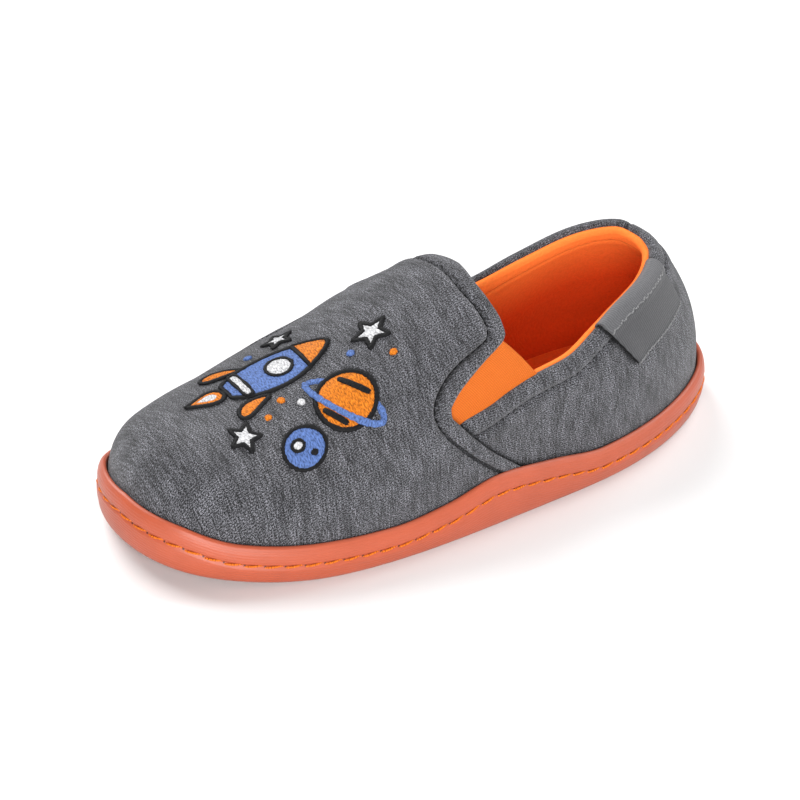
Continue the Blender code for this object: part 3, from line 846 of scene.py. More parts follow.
@made_once
def rubber_material(add, colours, sizes):
    """Moulded rubber: satin and a little waxy, with faint ribs along the wall and the punched stitch holes as
    painted shade.
    """
    place = add("UVMap", "UV", {}, uv_map="pattern")
    round_it = add("SeparateXYZ", "X", {"Vector": place})
    below = round_it.node.outputs["Y"]
    spot = add("TexCoord", "Object", {})
    # Clouds of colour 9 mm across
    cloud = add("TexNoise", "Fac", {"Vector": spot, "Scale": 1 / (9 * MM), "Detail": 3.0})
    tone = add("MapRange", "Result", {"Value": cloud, "From Min": 0.3, "From Max": 0.7, "To Min": 0.95,
                                      "To Max": 1.05})
    rubber = add("VectorMath", "Vector", {0: tuple(colours.rubber), 1: tone}, operation="MULTIPLY")
    # Painted shade of a punched hole at the end of each stitch: a dark spot a tenth of a stitch wide and 0.64
    # mm high
    count = add("Math", "Value", {0: round_it, 1: sizes.sole_stitch / MM}, operation="DIVIDE")
    part = add("Math", "Value", {0: count, 1: 0.5}, operation="PINGPONG")
    near = add("Math", "Value", {0: part, 1: 0.05}, operation="LESS_THAN")
    off = add("Math", "Value", {0: below, 1: sizes.sole_crease / MM}, operation="SUBTRACT")
    distance = add("Math", "Value", {0: off}, operation="ABSOLUTE")
    level = add("Math", "Value", {0: distance, 1: 0.32}, operation="LESS_THAN")
    painted_hole_shade = add("Math", "Value", {0: near, 1: level}, operation="MULTIPLY")
    # Ribs 0.9 mm apart along the wall and a grain of 0.6 mm
    rib = add("TexWave", "Fac", {"Vector": place, "Scale": ONE_WAVE / 0.9, "Distortion": 0.6, "Detail": 1.0},
              wave_type="BANDS", bands_direction="Y")
    grain = add("TexNoise", "Fac", {"Vector": spot, "Scale": 1 / (0.6 * MM), "Detail": 2.0})
    relief = add("Math", "Value", {0: rib, 1: 0.8, 2: grain}, operation="MULTIPLY_ADD")
    return {
        "Base Color": add("Mix", 2, {0: painted_hole_shade, 6: rubber, 7: rgba(colours.stitch_hole_shade)}, data_type="RGBA"),
        "Normal": add("Bump", "Normal", {"Height": relief, "Strength": 0.6, "Distance": 0.12 * MM}),
        "Roughness": 0.5,
        "Specular IOR Level": 0.35,
        "Coat Weight": 0.2,
        "Coat Roughness": 0.35,
    }


@made_once
def tape_material(add, dye):
    """Woven tape: fine ribs across the tape, flat and slightly shiny."""
    place = add("UVMap", "UV", {}, uv_map="pattern")
    # Ribs 0.8 mm apart, crossed by weft threads of 0.6 mm
    rib = add("TexWave", "Fac", {"Vector": place, "Scale": ONE_WAVE / 0.8},
              wave_type="BANDS", bands_direction="X")
    weft = add("TexNoise", "Fac", {"Vector": place, "Scale": 1 / 0.6, "Detail": 1.0}, noise_dimensions="2D")
    weave = add("Math", "Value", {0: weft, 1: 1.2, 2: rib}, operation="MULTIPLY_ADD")
    shade = add("MapRange", "Result", {"Value": weave, "From Max": 2.2, "To Min": 0.5, "To Max": 1.5})
    return {
        "Base Color": add("VectorMath", "Vector", {0: tuple(dye), 1: shade}, operation="MULTIPLY"),
        "Normal": add("Bump", "Normal", {"Height": weave, "Strength": 0.4, "Distance": 0.15 * MM}),
        "Roughness": 0.6,
        "Sheen Weight": 0.15,
    }


@made_once
def thread_material(add, dye):
    """Satin-stitched rayon thread: close parallel strands with a soft shine along them."""
    place = add("UVMap", "UV", {}, uv_map="pattern")
    # Single stitches 1 mm long, of strands 0.4 mm apart
    lay = add("Mapping", "Vector", {"Vector": place, "Scale": (1 / 0.4, 1 / 1.0, 1.0)})
    strand = add("TexNoise", "Fac", {"Vector": lay, "Scale": 1.0, "Detail": 1.0}, noise_dimensions="2D")
    shade = add("MapRange", "Result", {"Value": strand, "From Min": 0.25, "From Max": 0.75, "To Min": 0.5,
                                       "To Max": 1.5})
    return {
        "Base Color": add("VectorMath", "Vector", {0: tuple(dye), 1: shade}, operation="MULTIPLY"),
        "Normal": add("Bump", "Normal", {"Height": strand, "Strength": 0.6, "Distance": 0.25 * MM}),
        "Roughness": 0.6,
        "Specular IOR Level": 0.15,
    }


def thread(colours, name):
    """Thread of one of the thread colours."""
    return thread_material("satin_thread_" + name, getattr(colours, name + "_thread"))


@made_once
def board_material(add, paint):
    """Smooth white board with a faint mottle in its gloss."""
    mottle = add("TexNoise", "Fac", {"Vector": add("TexCoord", "Object", {}), "Scale": 12.0})
    return {
        "Base Color": rgba(paint),
        "Roughness": add("MapRange", "Result", {"Value": mottle, "To Min": 0.45, "To Max": 0.6}),
        "Specular IOR Level": 0.25,
    }


def round_sole(stations):
    """Turns and sides of a closed ring round the sole, toe first along the outer side."""
    half = np.linspace(0, 1, stations + 1)
    outer = np.arange(2 * stations + 1) <= stations
    return np.concatenate((half, half[-2::-1])), outer


def sole_ring(turns, outer, out, height):
    x, y = plan(turns, outer, out)
    return np.stack([x, y, height], axis=-1)


def wall_ring(turns, outer, out, share, added):
    """Ring of the sole wall at a share of its height."""
    low = toe_rise(turns)
    return sole_ring(turns, outer, out, low + share * (wall_top(turns) - low) + added)


def to_middle(ring, shares):
    """Rings from one ring in towards the middle line of the sole."""
    middle = (ring + ring[::-1]) / 2
    return [ring + share * (middle - ring) for share in shares]


def sole_grid(sizes):
    """Points and pattern of the sole, from the middle of the tread round the wall to the cup's middle."""
    turns, outer = round_sole(150)
    stitch_line = sizes.sole_crease / MM
    crease = [(out, share, -stitch_line - down) for out, share, down in WALL_CREASE]
    rings = [wall_ring(turns, outer, *row) for row in (*WALL_LOW, *crease, *WALL_HIGH)]
    bottom = to_middle(rings[0], (1.0, 0.8, 0.6, 0.4, 0.2))
    floor = to_middle(rings[-1], (0.2, 0.4, 0.6, 0.8, 1.0))
    points = np.array(bottom + rings + floor)
    run = line_run(sole_ring(turns, outer, 0.0, np.zeros_like(turns)))
    below = wall_top(turns) - points[..., 2]
    return points, np.stack([np.broadcast_to(run, below.shape), below], axis=-1)


def insole_grid():
    """Points and pattern of the insole, from its middle underneath, round the edge and over the top."""
    turns, outer = round_sole(90)
    low = toe_rise(turns) + CUP_FLOOR + GAP
    rings = [sole_ring(turns, outer, -INSOLE_INSET - inset, low + level) for inset, level in INSOLE_EDGE]
    bottom = to_middle(rings[0], (1.0, 0.75, 0.5, 0.25))
    crown = to_middle(rings[-1], (0.2, 0.4, 0.6, 0.8, 1.0))
    points = np.array(bottom + rings + crown)
    return points, points[..., :2]


def vamp_columns(count):
    """Girths of the vamp's columns, closer where its edge sweeps forward."""
    fine = np.linspace(0, 1, 801)
    run = line_run(form(turn_of(vamp_edge(fine)), fine))
    even = np.interp(np.linspace(0, run[-1], count), run, fine)
    half = 0.6 * even + 0.4 * np.linspace(0, 1, count)
    return np.concatenate(([1.1, 1.05], half[:0:-1], -half, [-1.05, -1.1]))


def vamp_turns(girths, radius):
    """Turns of the vamp's rows, and how squarely they meet the hem seam."""
    place = np.clip(np.abs(girths), 0, 1)
    seam = turn_of(vamp_seam(place))
    edge = turn_of(vamp_edge(place))
    onward = form(seam + 0.01, girths) - form(seam - 0.01, girths)
    over_seam = edge_way(form(seam, girths), outward(seam, girths), onward)
    slant = np.clip(np.sum(over_seam * unit(onward), axis=-1), 0.4, 1)
    turns = []
    for j, girth in enumerate(girths):
        fine = np.linspace(0, edge[j], 240)
        run = line_run(form(fine, girth))
        at_seam = np.interp(seam[j], fine, run)
        before = at_seam - np.array(NEAR_SEAM) / slant[j]
        body = np.linspace(0, before[0], BODY_ROWS)[:-1]
        hem = at_seam + (run[-1] - radius[j] - at_seam) * np.array(HEM_SHARES)
        turns.append(np.interp(np.concatenate((body, before, hem)), run, fine))
    return np.array(turns).T, slant


def past_seam(base, along, slant):
    """Distance of each point of the vamp past the hem seam, which is exact close to it."""
    past = (along - along[SEAM_ROW]) * slant
    run = line_run(base[SEAM_ROW])
    line = resampled(base[SEAM_ROW], run, np.linspace(0, run[-1], 1200))
    for i in range(BODY_ROWS - 1, len(base)):
        near = np.linalg.norm(base[i][:, None] - line, axis=-1).min(axis=1)
        past[i] = np.sign(i - SEAM_ROW) * np.where(near < SEAM_NEAR, near, np.abs(past[i]))
    return past


def knit_pattern(girths, turns, base):
    """Places of the vamp in its knit, round the foot and along it, and laid flat over the toe."""
    crest = np.linspace(0, 1, 201)
    crest_run = line_run(form(crest, 0.0))
    steps = np.linspace(0, 1.1, 111)
    fine = np.linspace(0, turns.max(), 80)
    halves = {side: run_along(form(fine[:, None], side * steps), 1) for side in (1.0, -1.0)}
    round_it = np.empty_like(turns)
    for j, girth in enumerate(girths):
        side = math.copysign(1.0, girth)
        line = [np.interp(abs(girth), steps, row) for row in halves[side]]
        round_it[:, j] = side * np.interp(turns[:, j], fine, line)
    wrapped = np.stack([round_it, np.interp(turns, crest, crest_run)], axis=-1)
    centre = turn_of(TOE_CENTRE)
    off = base - form(centre, 0.0)
    reach = np.linalg.norm(off, axis=-1) / np.maximum(np.hypot(off[..., 0], off[..., 1]), 0.01)
    cap = off[..., :2] * reach[..., None] + (0.0, np.interp(centre, crest, crest_run))
    rear = rise(station_of(turns), TOE_CENTRE - 0.04, 0.10)[..., None]
    return cap + rear * (wrapped - cap)


def vamp_grid(sizes):
    """Rows of the vamp from the toe to its rear edge, round the edge and back inside.

    Gives the points, their pattern, the painted shade they get in seams, and the points and normals of the
    hem seam.
    """
    girths = vamp_columns(VAMP_HALF)
    place = np.clip(np.abs(girths), 0, 1)
    lapped = rise(place, *VAMP_LAP)
    radius = sizes.vamp_roll / MM * (1 - 0.5 * lapped)
    turns, slant = vamp_turns(girths, radius)
    base = form(turns, girths)
    normal = outward(turns, girths)
    along = run_along(base, 0)
    past = past_seam(base, along, slant)
    pucker = np.cos(2 * math.pi * line_run(base[SEAM_ROW]) / (sizes.hem_stitch / MM))
    swell = 0.55 * bell(past, -2.8, 2.4) * rise(-past, 0.0, 0.8)
    groove = (1.35 + 0.25 * pucker - 0.6 * lapped) * bell(past, 0.0, 0.58)
    gathers = 0.3 * pucker * bell(past, 0.0, 1.7)
    puff = (0.35 + 0.55 * lapped) * arch(past / (past[-1] + radius), 0.8)
    lift = swell - groove + gathers + puff + creased(from_middle(base), along, VAMP_CREASES)
    points = base + (lift * held(place))[..., None] * normal
    onward = edge_way(points[-1], normal[-1], points[-1] - points[-3])
    tuck = rolled(points[-1], normal[-1], onward, radius, 8, TUCK)
    pattern = knit_pattern(girths, turns, base)
    folded = run_along(np.concatenate((points[-1:], tuck)), 0)[1:]
    over = np.stack([np.broadcast_to(pattern[-1, :, 0], folded.shape), pattern[-1, :, 1] + folded], axis=-1)
    # Painted shade: the hem seam's groove is darkened, less over the top of the foot and in the lap, and the
    # tucked cloth under the lapped edge darkens inward
    painted_seam_shade_strength = 0.5 + 0.5 * rise(place, *THROAT_END) - 0.3 * lapped
    width = 0.46 - 0.12 * lapped + 0.12 * pucker
    seam = painted_seam_shade_strength * (0.72 + 0.28 * pucker) * bell(past, 0.0, width)
    hidden = np.linspace(0, 0.9, len(tuck))[:, None] * lapped
    grid = np.concatenate((points, tuck))
    pattern = np.concatenate((pattern, over))
    return grid, pattern, np.concatenate((seam, hidden)), points[SEAM_ROW], normal[SEAM_ROW]


def collar_wall(half, below, near_rows, far_rows):
    """Grid on the form from below the collar's edge to the foot, from the outer front end round the heel."""
    turns = np.linspace(turn_of(QUARTER_FRONT), 1, half)
    turns = np.concatenate((turns, turns[-2::-1]))
    side = np.concatenate((np.ones(half), -np.ones(half - 1)))
    station = station_of(turns)
    start = girth_at(turns, collar_top(station, side) - below)
    fine = start + np.linspace(0, 1, 90)[:, None] * (1 - start)
    run = run_along(form(turns, side * fine), 0)
    near = np.concatenate((np.linspace(0, NEAR_RIM, near_rows + 1), np.full(far_rows, NEAR_RIM)))
    far = np.concatenate((np.zeros(near_rows + 1), np.arange(1, far_rows + 1) / far_rows))
    columns = []
    for j, length_down in enumerate(run[-1]):
        columns.append(np.interp(near + far * (length_down - NEAR_RIM), run[:, j], fine[:, j]))
    places = np.array(columns).T
    base = form(turns, side * places)
    return SimpleNamespace(turns=turns, side=side, station=station, places=places, base=base,
                           under=-LAP_STEP * (1 - rise(station, *UNDER_VAMP)),
                           normal=outward(turns, side * places), down=run_along(base, 0))


def quarter_grid(sizes):
    """Rows of the quarters from the foot up to the collar and round its edge, given as by vamp_grid."""
    radius = sizes.collar_roll / MM
    wall = collar_wall(240, radius, 36, 30)
    down = wall.down
    across = from_middle(wall.base)
    hem = sizes.collar_hem / MM - radius
    pucker = np.cos(2 * math.pi * across[0] / (sizes.hem_stitch / MM))
    lap = (wall.station - vamp_edge(wall.places)) * SOLE_LENGTH * LAP_SLANT
    lapped = rise(wall.places, *QUARTER_LAP)
    groove = (0.55 + 0.15 * pucker) * bell(down, hem, 0.8)
    puff = 0.35 * arch(down / hem, 0.8)
    swell = 0.40 * bell(down, hem + 2.6, 2.2) * rise(down, hem, 0.8)
    gathers = 0.08 * pucker * bell(down, hem, 2.0)
    back = 0.6 * bell(across, BACK_SEAM, 0.8)
    pressed = 0.7 * bell(lap, 0.0, 1.1) * lapped + 1.6 * rise(-lap, 0.5, 2.5)
    lift = puff + swell + gathers - groove - back - pressed + creased(across, down, QUARTER_CREASES)
    points = wall.base + (wall.under + lift * held(wall.places))[..., None] * wall.normal
    upward = edge_way(points[0], wall.normal[0], points[0] - points[2])
    notched = radius - 0.7 * bell(across[0], BACK_SEAM, 0.9)
    rim = rolled(points[0], wall.normal[0], upward, notched, 9, TUCK)
    foot = [skin(wall.turns, wall.side * girth, wall.under) for girth in (1.1, 1.05)]
    grid = np.concatenate((foot, points[::-1], rim))
    pattern = unrolled(grid)[..., ::-1]
    pattern[..., 1] = pattern[len(pattern) // 2, :, 1]
    # Painted shade: darkening in the collar hem's groove, at the back seam, along the vamp's lapped edge, and
    # painted shadow in front of the label's front edge
    label_front = LABEL_FRONT + (LABEL_FOOT_FRONT - LABEL_FRONT) * down / LABEL_DROP[0]
    labelled = (wall.side > 0) & (down < LABEL_DROP[0] + 0.4)
    seam = np.maximum.reduce([
        (0.15 + 0.2 * rise(0.62 - wall.station, 0.0, 0.12)) * bell(down, hem, 0.8),
        0.5 * bell(across, BACK_SEAM, 0.6),
        0.95 * bell(lap, 0.0, 0.9) * lapped,
        0.95 * bell((label_front - wall.station) * SOLE_LENGTH, 0.0, 0.9) * labelled,
    ])
    seam = np.concatenate((seam[-1:], seam[-1:], seam[::-1], np.repeat(seam[:1], len(rim), axis=0)))
    row = int(np.argmin(np.abs(down[:, 0] - hem)))
    return grid, pattern, seam, points[row], wall.normal[row]


def lining_grid(sizes):
    """Rows of the quarters' lining, over its roll and down to the insole, given as by vamp_grid."""
    collar = sizes.collar_roll / MM
    radius = sizes.lining_roll / MM
    wall = collar_wall(110, collar - 0.4, 26, 26)
    down = wall.down
    back = wall.under - 2 * collar + 0.5
    start = wall.base[0] + back[:, None] * wall.normal[0]
    upward = edge_way(start, wall.normal[0], wall.base[0] - wall.base[2])
    hidden = [start - drop * upward for drop in (4.0, 2.0, 0.0)]
    rim = rolled(start, wall.normal[0], upward, radius, 10, ())
    hem = sizes.collar_hem / MM - 0.5
    depth = back - 2 * radius
    eased_in = depth - (LINING_DEPTH + depth) * rise(down, 0.0, 24.0)
    ridge = 0.4 * bell(down, hem, 0.8)
    swell = 0.35 * bell(down, hem + 2.6, 1.8) * rise(down, hem, 0.8)
    puff = 0.45 * arch(down / hem, 1.0)
    round_in = np.clip(1 - (down[-1] - down) / 8.0, 0, 1)
    foot = 7.0 * (1 - np.sqrt(1 - round_in ** 2))
    points = wall.base + (eased_in + ridge - swell - puff - foot)[..., None] * wall.normal
    grid = np.concatenate((hidden, rim, points[1:]))
    # Painted shade in the groove of the lining's seam
    seam = np.zeros(grid.shape[:2])
    seam[1 - len(points):] = 0.55 * bell(down, hem, 1.0)[1:]
    row = int(np.argmin(np.abs(down[:, 0] - hem)))
    return grid, unrolled(grid), seam, points[row], -wall.normal[row]


def vamp_lining_grid():
    """Rows of the lining under the vamp, from a seam at the toe to just inside its edge."""
    girths = vamp_columns(50)
    edge = turn_of(vamp_edge(np.clip(np.abs(girths), 0, 1)) - 0.012)
    turns = np.linspace(0.02, 1, 46)[:, None] * edge
    grid = skin(turns, girths * 0.985, np.full(turns.shape, -LINING_DEPTH))
    toe_seam = (grid[:1] + grid[:1, ::-1]) / 2
    return np.concatenate((toe_seam, grid))


def gore_grid(side):
    """Rows of a gore from its foot to its top edge, its ends tucked under vamp and quarter."""
    grid = []
    across = np.linspace(0, 1, 34)
    for share, inward in [(share, 0.0) for share in np.linspace(0.02, 1.1, 28)] + list(GORE_FOLD):
        front_girth = GORE_FRONT[0] + share * (GORE_FRONT[1] - GORE_FRONT[0])
        front = np.array((float(vamp_edge(front_girth)), front_girth)) - GORE_UNDER_VAMP
        station = GORE_REAR[0] + share * (GORE_REAR[1] - GORE_REAR[0])
        rear_girth = girth_at(turn_of(station), float(collar_height(station)) - GORE_DROP)
        rear = np.array((station + GORE_UNDER_QUARTER, float(rear_girth)))
        line = front + across[:, None] * (rear - front)
        lift = -1.5 - 0.9 * across - inward
        grid.append(skin(turn_of(line[:, 0]), side * line[:, 1], lift))
    return np.array(grid)


def label_grid(sizes, drops, lift, over):
    """Rows of label tape from its foot up to the collar edge, and on over it for a number of steps."""
    radius = sizes.collar_roll / MM
    hem = sizes.collar_hem / MM - radius
    grid = []
    for down in np.linspace(1, 0, 34):
        foot = down * drops.mean() / np.mean(LABEL_DROP)
        front = turn_of(LABEL_FRONT + foot * (LABEL_FOOT_FRONT - LABEL_FRONT))
        turns = front + LABEL_SHARES * (turn_of(LABEL_REAR) - front)
        start = girth_at(turns, collar_top(station_of(turns), 1) - radius)
        fine = start + np.linspace(0, 1, 60)[:, None] * (1 - start)
        run = run_along(form(turns, fine), 0)
        girths = np.array([np.interp(down * drop, run[:, j], fine[:, j]) for j, drop in enumerate(drops)])
        loose = 0.3 * foot ** 2 + (0.3 + 0.7 * foot) * bell(LABEL_SHARES, 0.0, 0.12)
        padded = 0.25 * arch(down * drops / hem, 1.0)
        grid.append(skin(turns, girths, lift + loose + padded))
        normal = outward(turns, girths)
    points = np.array(grid)
    upward = edge_way(points[-1], normal, points[-1] - points[-3])
    rim = rolled(points[-1], normal, upward, radius + lift - 0.2, 8, ())
    return np.concatenate((points, rim[:over]))


def label_layers(sizes):
    """Grids of the hanging panel and of the strip folded over the rim above it."""
    drops = LABEL_DROP[0] + LABEL_SHARES * (LABEL_DROP[1] - LABEL_DROP[0])
    wave = STRIP_WAVE_HIGH * np.cos(2 * math.pi * LABEL_SHARES * STRIP_RUN / STRIP_WAVE)
    panel = label_grid(sizes, drops, LABEL_LIFT, 2)
    return panel, label_grid(sizes, STRIP_DROP + wave, LABEL_LIFT + LABEL_WALL, 8)


def flat_outline(kind, long, wide, count):
    """Outline of one embroidered shape about its centre, nose along +X."""
    angle = np.linspace(0, 2 * math.pi, count + 1)
    x = np.cos(angle)
    y = np.sin(angle)
    if kind == "star":
        corner = np.linspace(0, 2 * math.pi, 11)
        reach = np.where(np.arange(11) % 2 == 0, 1.0, 0.46)
        x = np.interp(angle, corner, reach * np.cos(corner))
        y = np.interp(angle, corner, reach * np.sin(corner))
    if kind == "hull":
        y = y * np.where(x > 0, 1 - HULL_TAPER * x ** 2, 1 - 0.25 * x ** 4)
        x = np.where(x < -0.86, -0.86, x)
    if kind == "nose":
        full = np.linspace(-1, 1, count + 1)
        x = 1 - 0.46 * np.abs(full)
        y = np.sign(full) * np.sqrt(1 - x ** 2) * (1 - HULL_TAPER * x ** 2)
        x = np.concatenate((x, [x[-1], x[0]])) - NOSE_PLACE / (long / 2)
        y = np.concatenate((y, [0.0, y[0]]))
    if kind == "band":
        x = np.sign(x) * np.abs(x) ** 0.4
        y = np.sign(y) * np.abs(y) ** 0.4
    if kind == "fin":
        y = y * (0.75 - 0.35 * x) + 0.3 * x ** 2
    if kind == "flame":
        y = y * (0.65 + 0.5 * x)
    return np.stack([x * long / 2, y * wide / 2], axis=-1)


def turned_flat(local, along, across, turn):
    """Local shape turned and moved to its place on the flat vamp."""
    turned = math.radians(turn)
    axis = np.array((math.cos(turned), -math.sin(turned)))
    side = np.array((math.sin(turned), math.cos(turned)))
    return np.array((along, across)) + local[..., :1] * axis + local[..., 1:] * side


def embroidered(name, local, lift, place, pattern, material):
    """Closed piece over the vamp, from rings given flat and their heights."""
    flat = turned_flat(local, *place)
    points = on_vamp(flat.reshape(-1, 2), lift.reshape(-1)).reshape(*local.shape[:2], 3)
    return laid_solid(name, points, pattern, material)


def ragged(outline, reach):
    """Outline whose points stand in and out a little, as the ends of single stitches do."""
    wander = np.sin(np.arange(len(outline) - 1) * 12.9898) * 43758.5453
    wander = (wander - np.floor(wander)) * 2 - 1
    wander = np.append(wander, wander[0])[:, None]
    return outline + reach * wander * unit(outline - outline.mean(axis=0))


def stitched_patch(name, outline, place, low, high, material):
    """Raised patch of satin stitch: crowned on top, with a flat underside."""
    rings = []
    for share in (0.0, 0.4, 0.7, 0.86, 0.95, 1.0):
        rings.append((share, low + (high - low) * math.sqrt(1 - share ** 6)))
    for share in (1.0, 0.5, 0.0):
        rings.append((share, low - 0.5))
    outline = ragged(outline, 0.2)
    local = np.array([share * outline for share, _ in rings])
    lift = np.array([np.full(len(outline), level) for _, level in rings])
    return embroidered(name, local, lift, place, local, material)


def outline_cord(name, outline, place, level, half_width, half_height, material):
    """Cord of close stitches along a closed outline, at one level or at a level for each point."""
    tangent = np.gradient(np.concatenate((outline[-3:-1], outline, outline[1:3])), axis=0)[2:-2]
    sideways = unit(np.stack([tangent[:, 1], -tangent[:, 0]], axis=-1))
    angles = np.linspace(0, 2 * math.pi, 9)
    wide = half_width + np.linalg.norm(ragged(outline, 0.3) - outline, axis=-1) - 0.15
    local = np.array([outline + (wide * math.cos(angle))[:, None] * sideways for angle in angles])
    level = np.broadcast_to(level, len(outline))
    lift = np.array([level + half_height * math.sin(angle) for angle in angles])
    run = line_run(np.pad(outline, ((0, 0), (0, 1))))
    pattern = np.stack(np.broadcast_arrays(run, angles[:, None]), axis=-1)
    return embroidered(name, local, lift, place, pattern, material)


def thread_run(name, line, normal, pitch, radius, dip, material, slant=0.0):
    """Run of stitches along a line: each one swells between two holes where the thread goes in."""
    run = line_run(line)
    count = max(1, int(round(run[-1] / pitch)))
    steps = np.linspace(0, run[-1], count * 10 + 1)
    path = resampled(line, run, steps)
    away = unit(resampled(normal, run, steps))
    beside = np.cross(away, unit(np.gradient(path, axis=0)))
    part = (np.arange(len(steps)) % 10) / 10.0
    swell = np.abs(np.sin(math.pi * part)) ** 0.5
    centre = path + (dip * (swell - 1))[:, None] * away + (slant * (part - 0.5))[:, None] * beside
    thick = radius * (0.45 + 0.55 * swell)
    rings = []
    for angle in np.linspace(0, 2 * math.pi, 7):
        ring = centre + thick[:, None] * (math.cos(angle) * away + math.sin(angle) * beside)
        rings.append(np.concatenate((centre[:1], ring, centre[-1:])))
    points = np.array(rings)
    pattern = np.zeros((*points.shape[:2], 2))
    pattern[..., 0] = np.concatenate((steps[:1], steps, steps[-1:]))
    return laid_solid(name, points, pattern, material)


class SLIPPER_OT_sole(bpy.types.Operator):
    """Moulds the cup sole with its stitch crease"""
    bl_idname = "slipper.sole"
    bl_label = "Sole"

    def execute(self, context):
        sizes = context.scene.slipper_sizes
        rubber = rubber_material("moulded_rubber", context.scene.slipper_colours, sizes)
        piece = laid_solid("sole", *sole_grid(sizes), rubber)
        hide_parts("outsole")
        return {"FINISHED"}


class SLIPPER_OT_insole(bpy.types.Operator):
    """Lays the fleece insole in the cup"""
    bl_idname = "slipper.insole"
    bl_label = "Insole"

    def execute(self, context):
        colours = context.scene.slipper_colours
        fleece = fleece_material("napped_fleece_insole", colours.fleece, colours.fleece)
        piece = laid_solid("footbed", *insole_grid(), fleece)
        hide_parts("insole")
        return {"FINISHED"}


def jersey_piece(context, name, grid):
    """Sews one jersey piece of the upper."""
    points, pattern, seam, _, _ = grid
    jersey = jersey_material("brushed_heather_jersey", context.scene.slipper_colours)
    piece = laid_cloth(name, points, pattern, jersey, context.scene.slipper_sizes.cloth / MM, seam)
    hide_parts("upper")


class SLIPPER_OT_vamp(bpy.types.Operator):
    """Sews the jersey vamp with its turned rear edge"""
    bl_idname = "slipper.vamp"
    bl_label = "Vamp"

    def execute(self, context):
        jersey_piece(context, "vamp", vamp_grid(context.scene.slipper_sizes))
        return {"FINISHED"}


class SLIPPER_OT_quarters(bpy.types.Operator):
    """Sews the jersey quarters with their turned collar"""
    bl_idname = "slipper.quarters"
    bl_label = "Quarters"

    def execute(self, context):
        jersey_piece(context, "quarters", quarter_grid(context.scene.slipper_sizes))
        return {"FINISHED"}


class SLIPPER_OT_lining(bpy.types.Operator):
    """Lines the quarters and the vamp with fleece"""
    bl_idname = "slipper.lining"
    bl_label = "Lining"

    def execute(self, context):
        sizes = context.scene.slipper_sizes
        colours = context.scene.slipper_colours
        fleece = fleece_material("napped_fleece_lining", colours.fleece, colours.fleece_painted_shade)
        wall = sizes.fleece / MM
        quarters, _, seam, _, _ = lining_grid(sizes)
        for name, points, dark in (("lining_quarters", quarters, seam),
                                   ("lining_vamp", vamp_lining_grid(), None)):
            piece = laid_cloth(name, points, unrolled(points), fleece, wall, dark, facing_in=True)
            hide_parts("upper")
        return {"FINISHED"}


class SLIPPER_OT_gores(bpy.types.Operator):
    """Sets an elastic gore in the notch on each side"""
    bl_idname = "slipper.gores"
    bl_label = "Gores"

    def execute(self, context):
        elastic = elastic_material("woven_rib_elastic", context.scene.slipper_colours.elastic)
        for name, node, side in (("elastic_outer", "gore_outer", 1), ("elastic_inner", "gore_inner", -1)):
            points = gore_grid(side)
            piece = laid_cloth(name, points, unrolled(points), elastic, GORE_WALL)
            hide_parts(node)
        return {"FINISHED"}


def facing_out(along, onward):
    """Normals of an edge of the label, towards the outer side."""
    away = unit(np.cross(along, onward))
    return away * np.sign(away[:, :1])


class SLIPPER_OT_label(bpy.types.Operator):
    """Folds the bare label over the collar"""
    bl_idname = "slipper.label"
    bl_label = "Label"

    def execute(self, context):
        colours = context.scene.slipper_colours
        panel, strip = label_layers(context.scene.slipper_sizes)
        panel_tape = tape_material("woven_satin_tape", colours.tape_dark)
        strip_tape = tape_material("woven_rib_tape", colours.tape)
        for name, points, tape, flat, level in (("label_panel", panel, panel_tape, PANEL_FLAT, 0.1),
                                                ("label_strip", strip, strip_tape, STRIP_FLAT, 0.05)):
            piece = laid_cloth(name, points, unrolled(points), tape, LABEL_WALL)
            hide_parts("collar_label")
            away = facing_out(np.gradient(points[0], axis=0), points[1] - points[0])
            edge = thread_run(name + "_selvedge", points[0] + level * away, away, pitch=STRIP_WAVE,
                              radius=0.28, dip=0.25, material=thread(colours, "selvedge"), slant=0.5)
        # Dark thread along the panel's front edge; it also stands as painted shadow for the gap under the
        # loose edge
        front, beside = panel[:-2, 0], panel[:-2, 1]
        away = facing_out(beside - front, np.gradient(front, axis=0))
        thread_run("label_end_stitching", front - 0.3 * away, away, pitch=3.0, radius=0.36, dip=0.05,
                   material=thread(colours, "hem"))
        return {"FINISHED"}


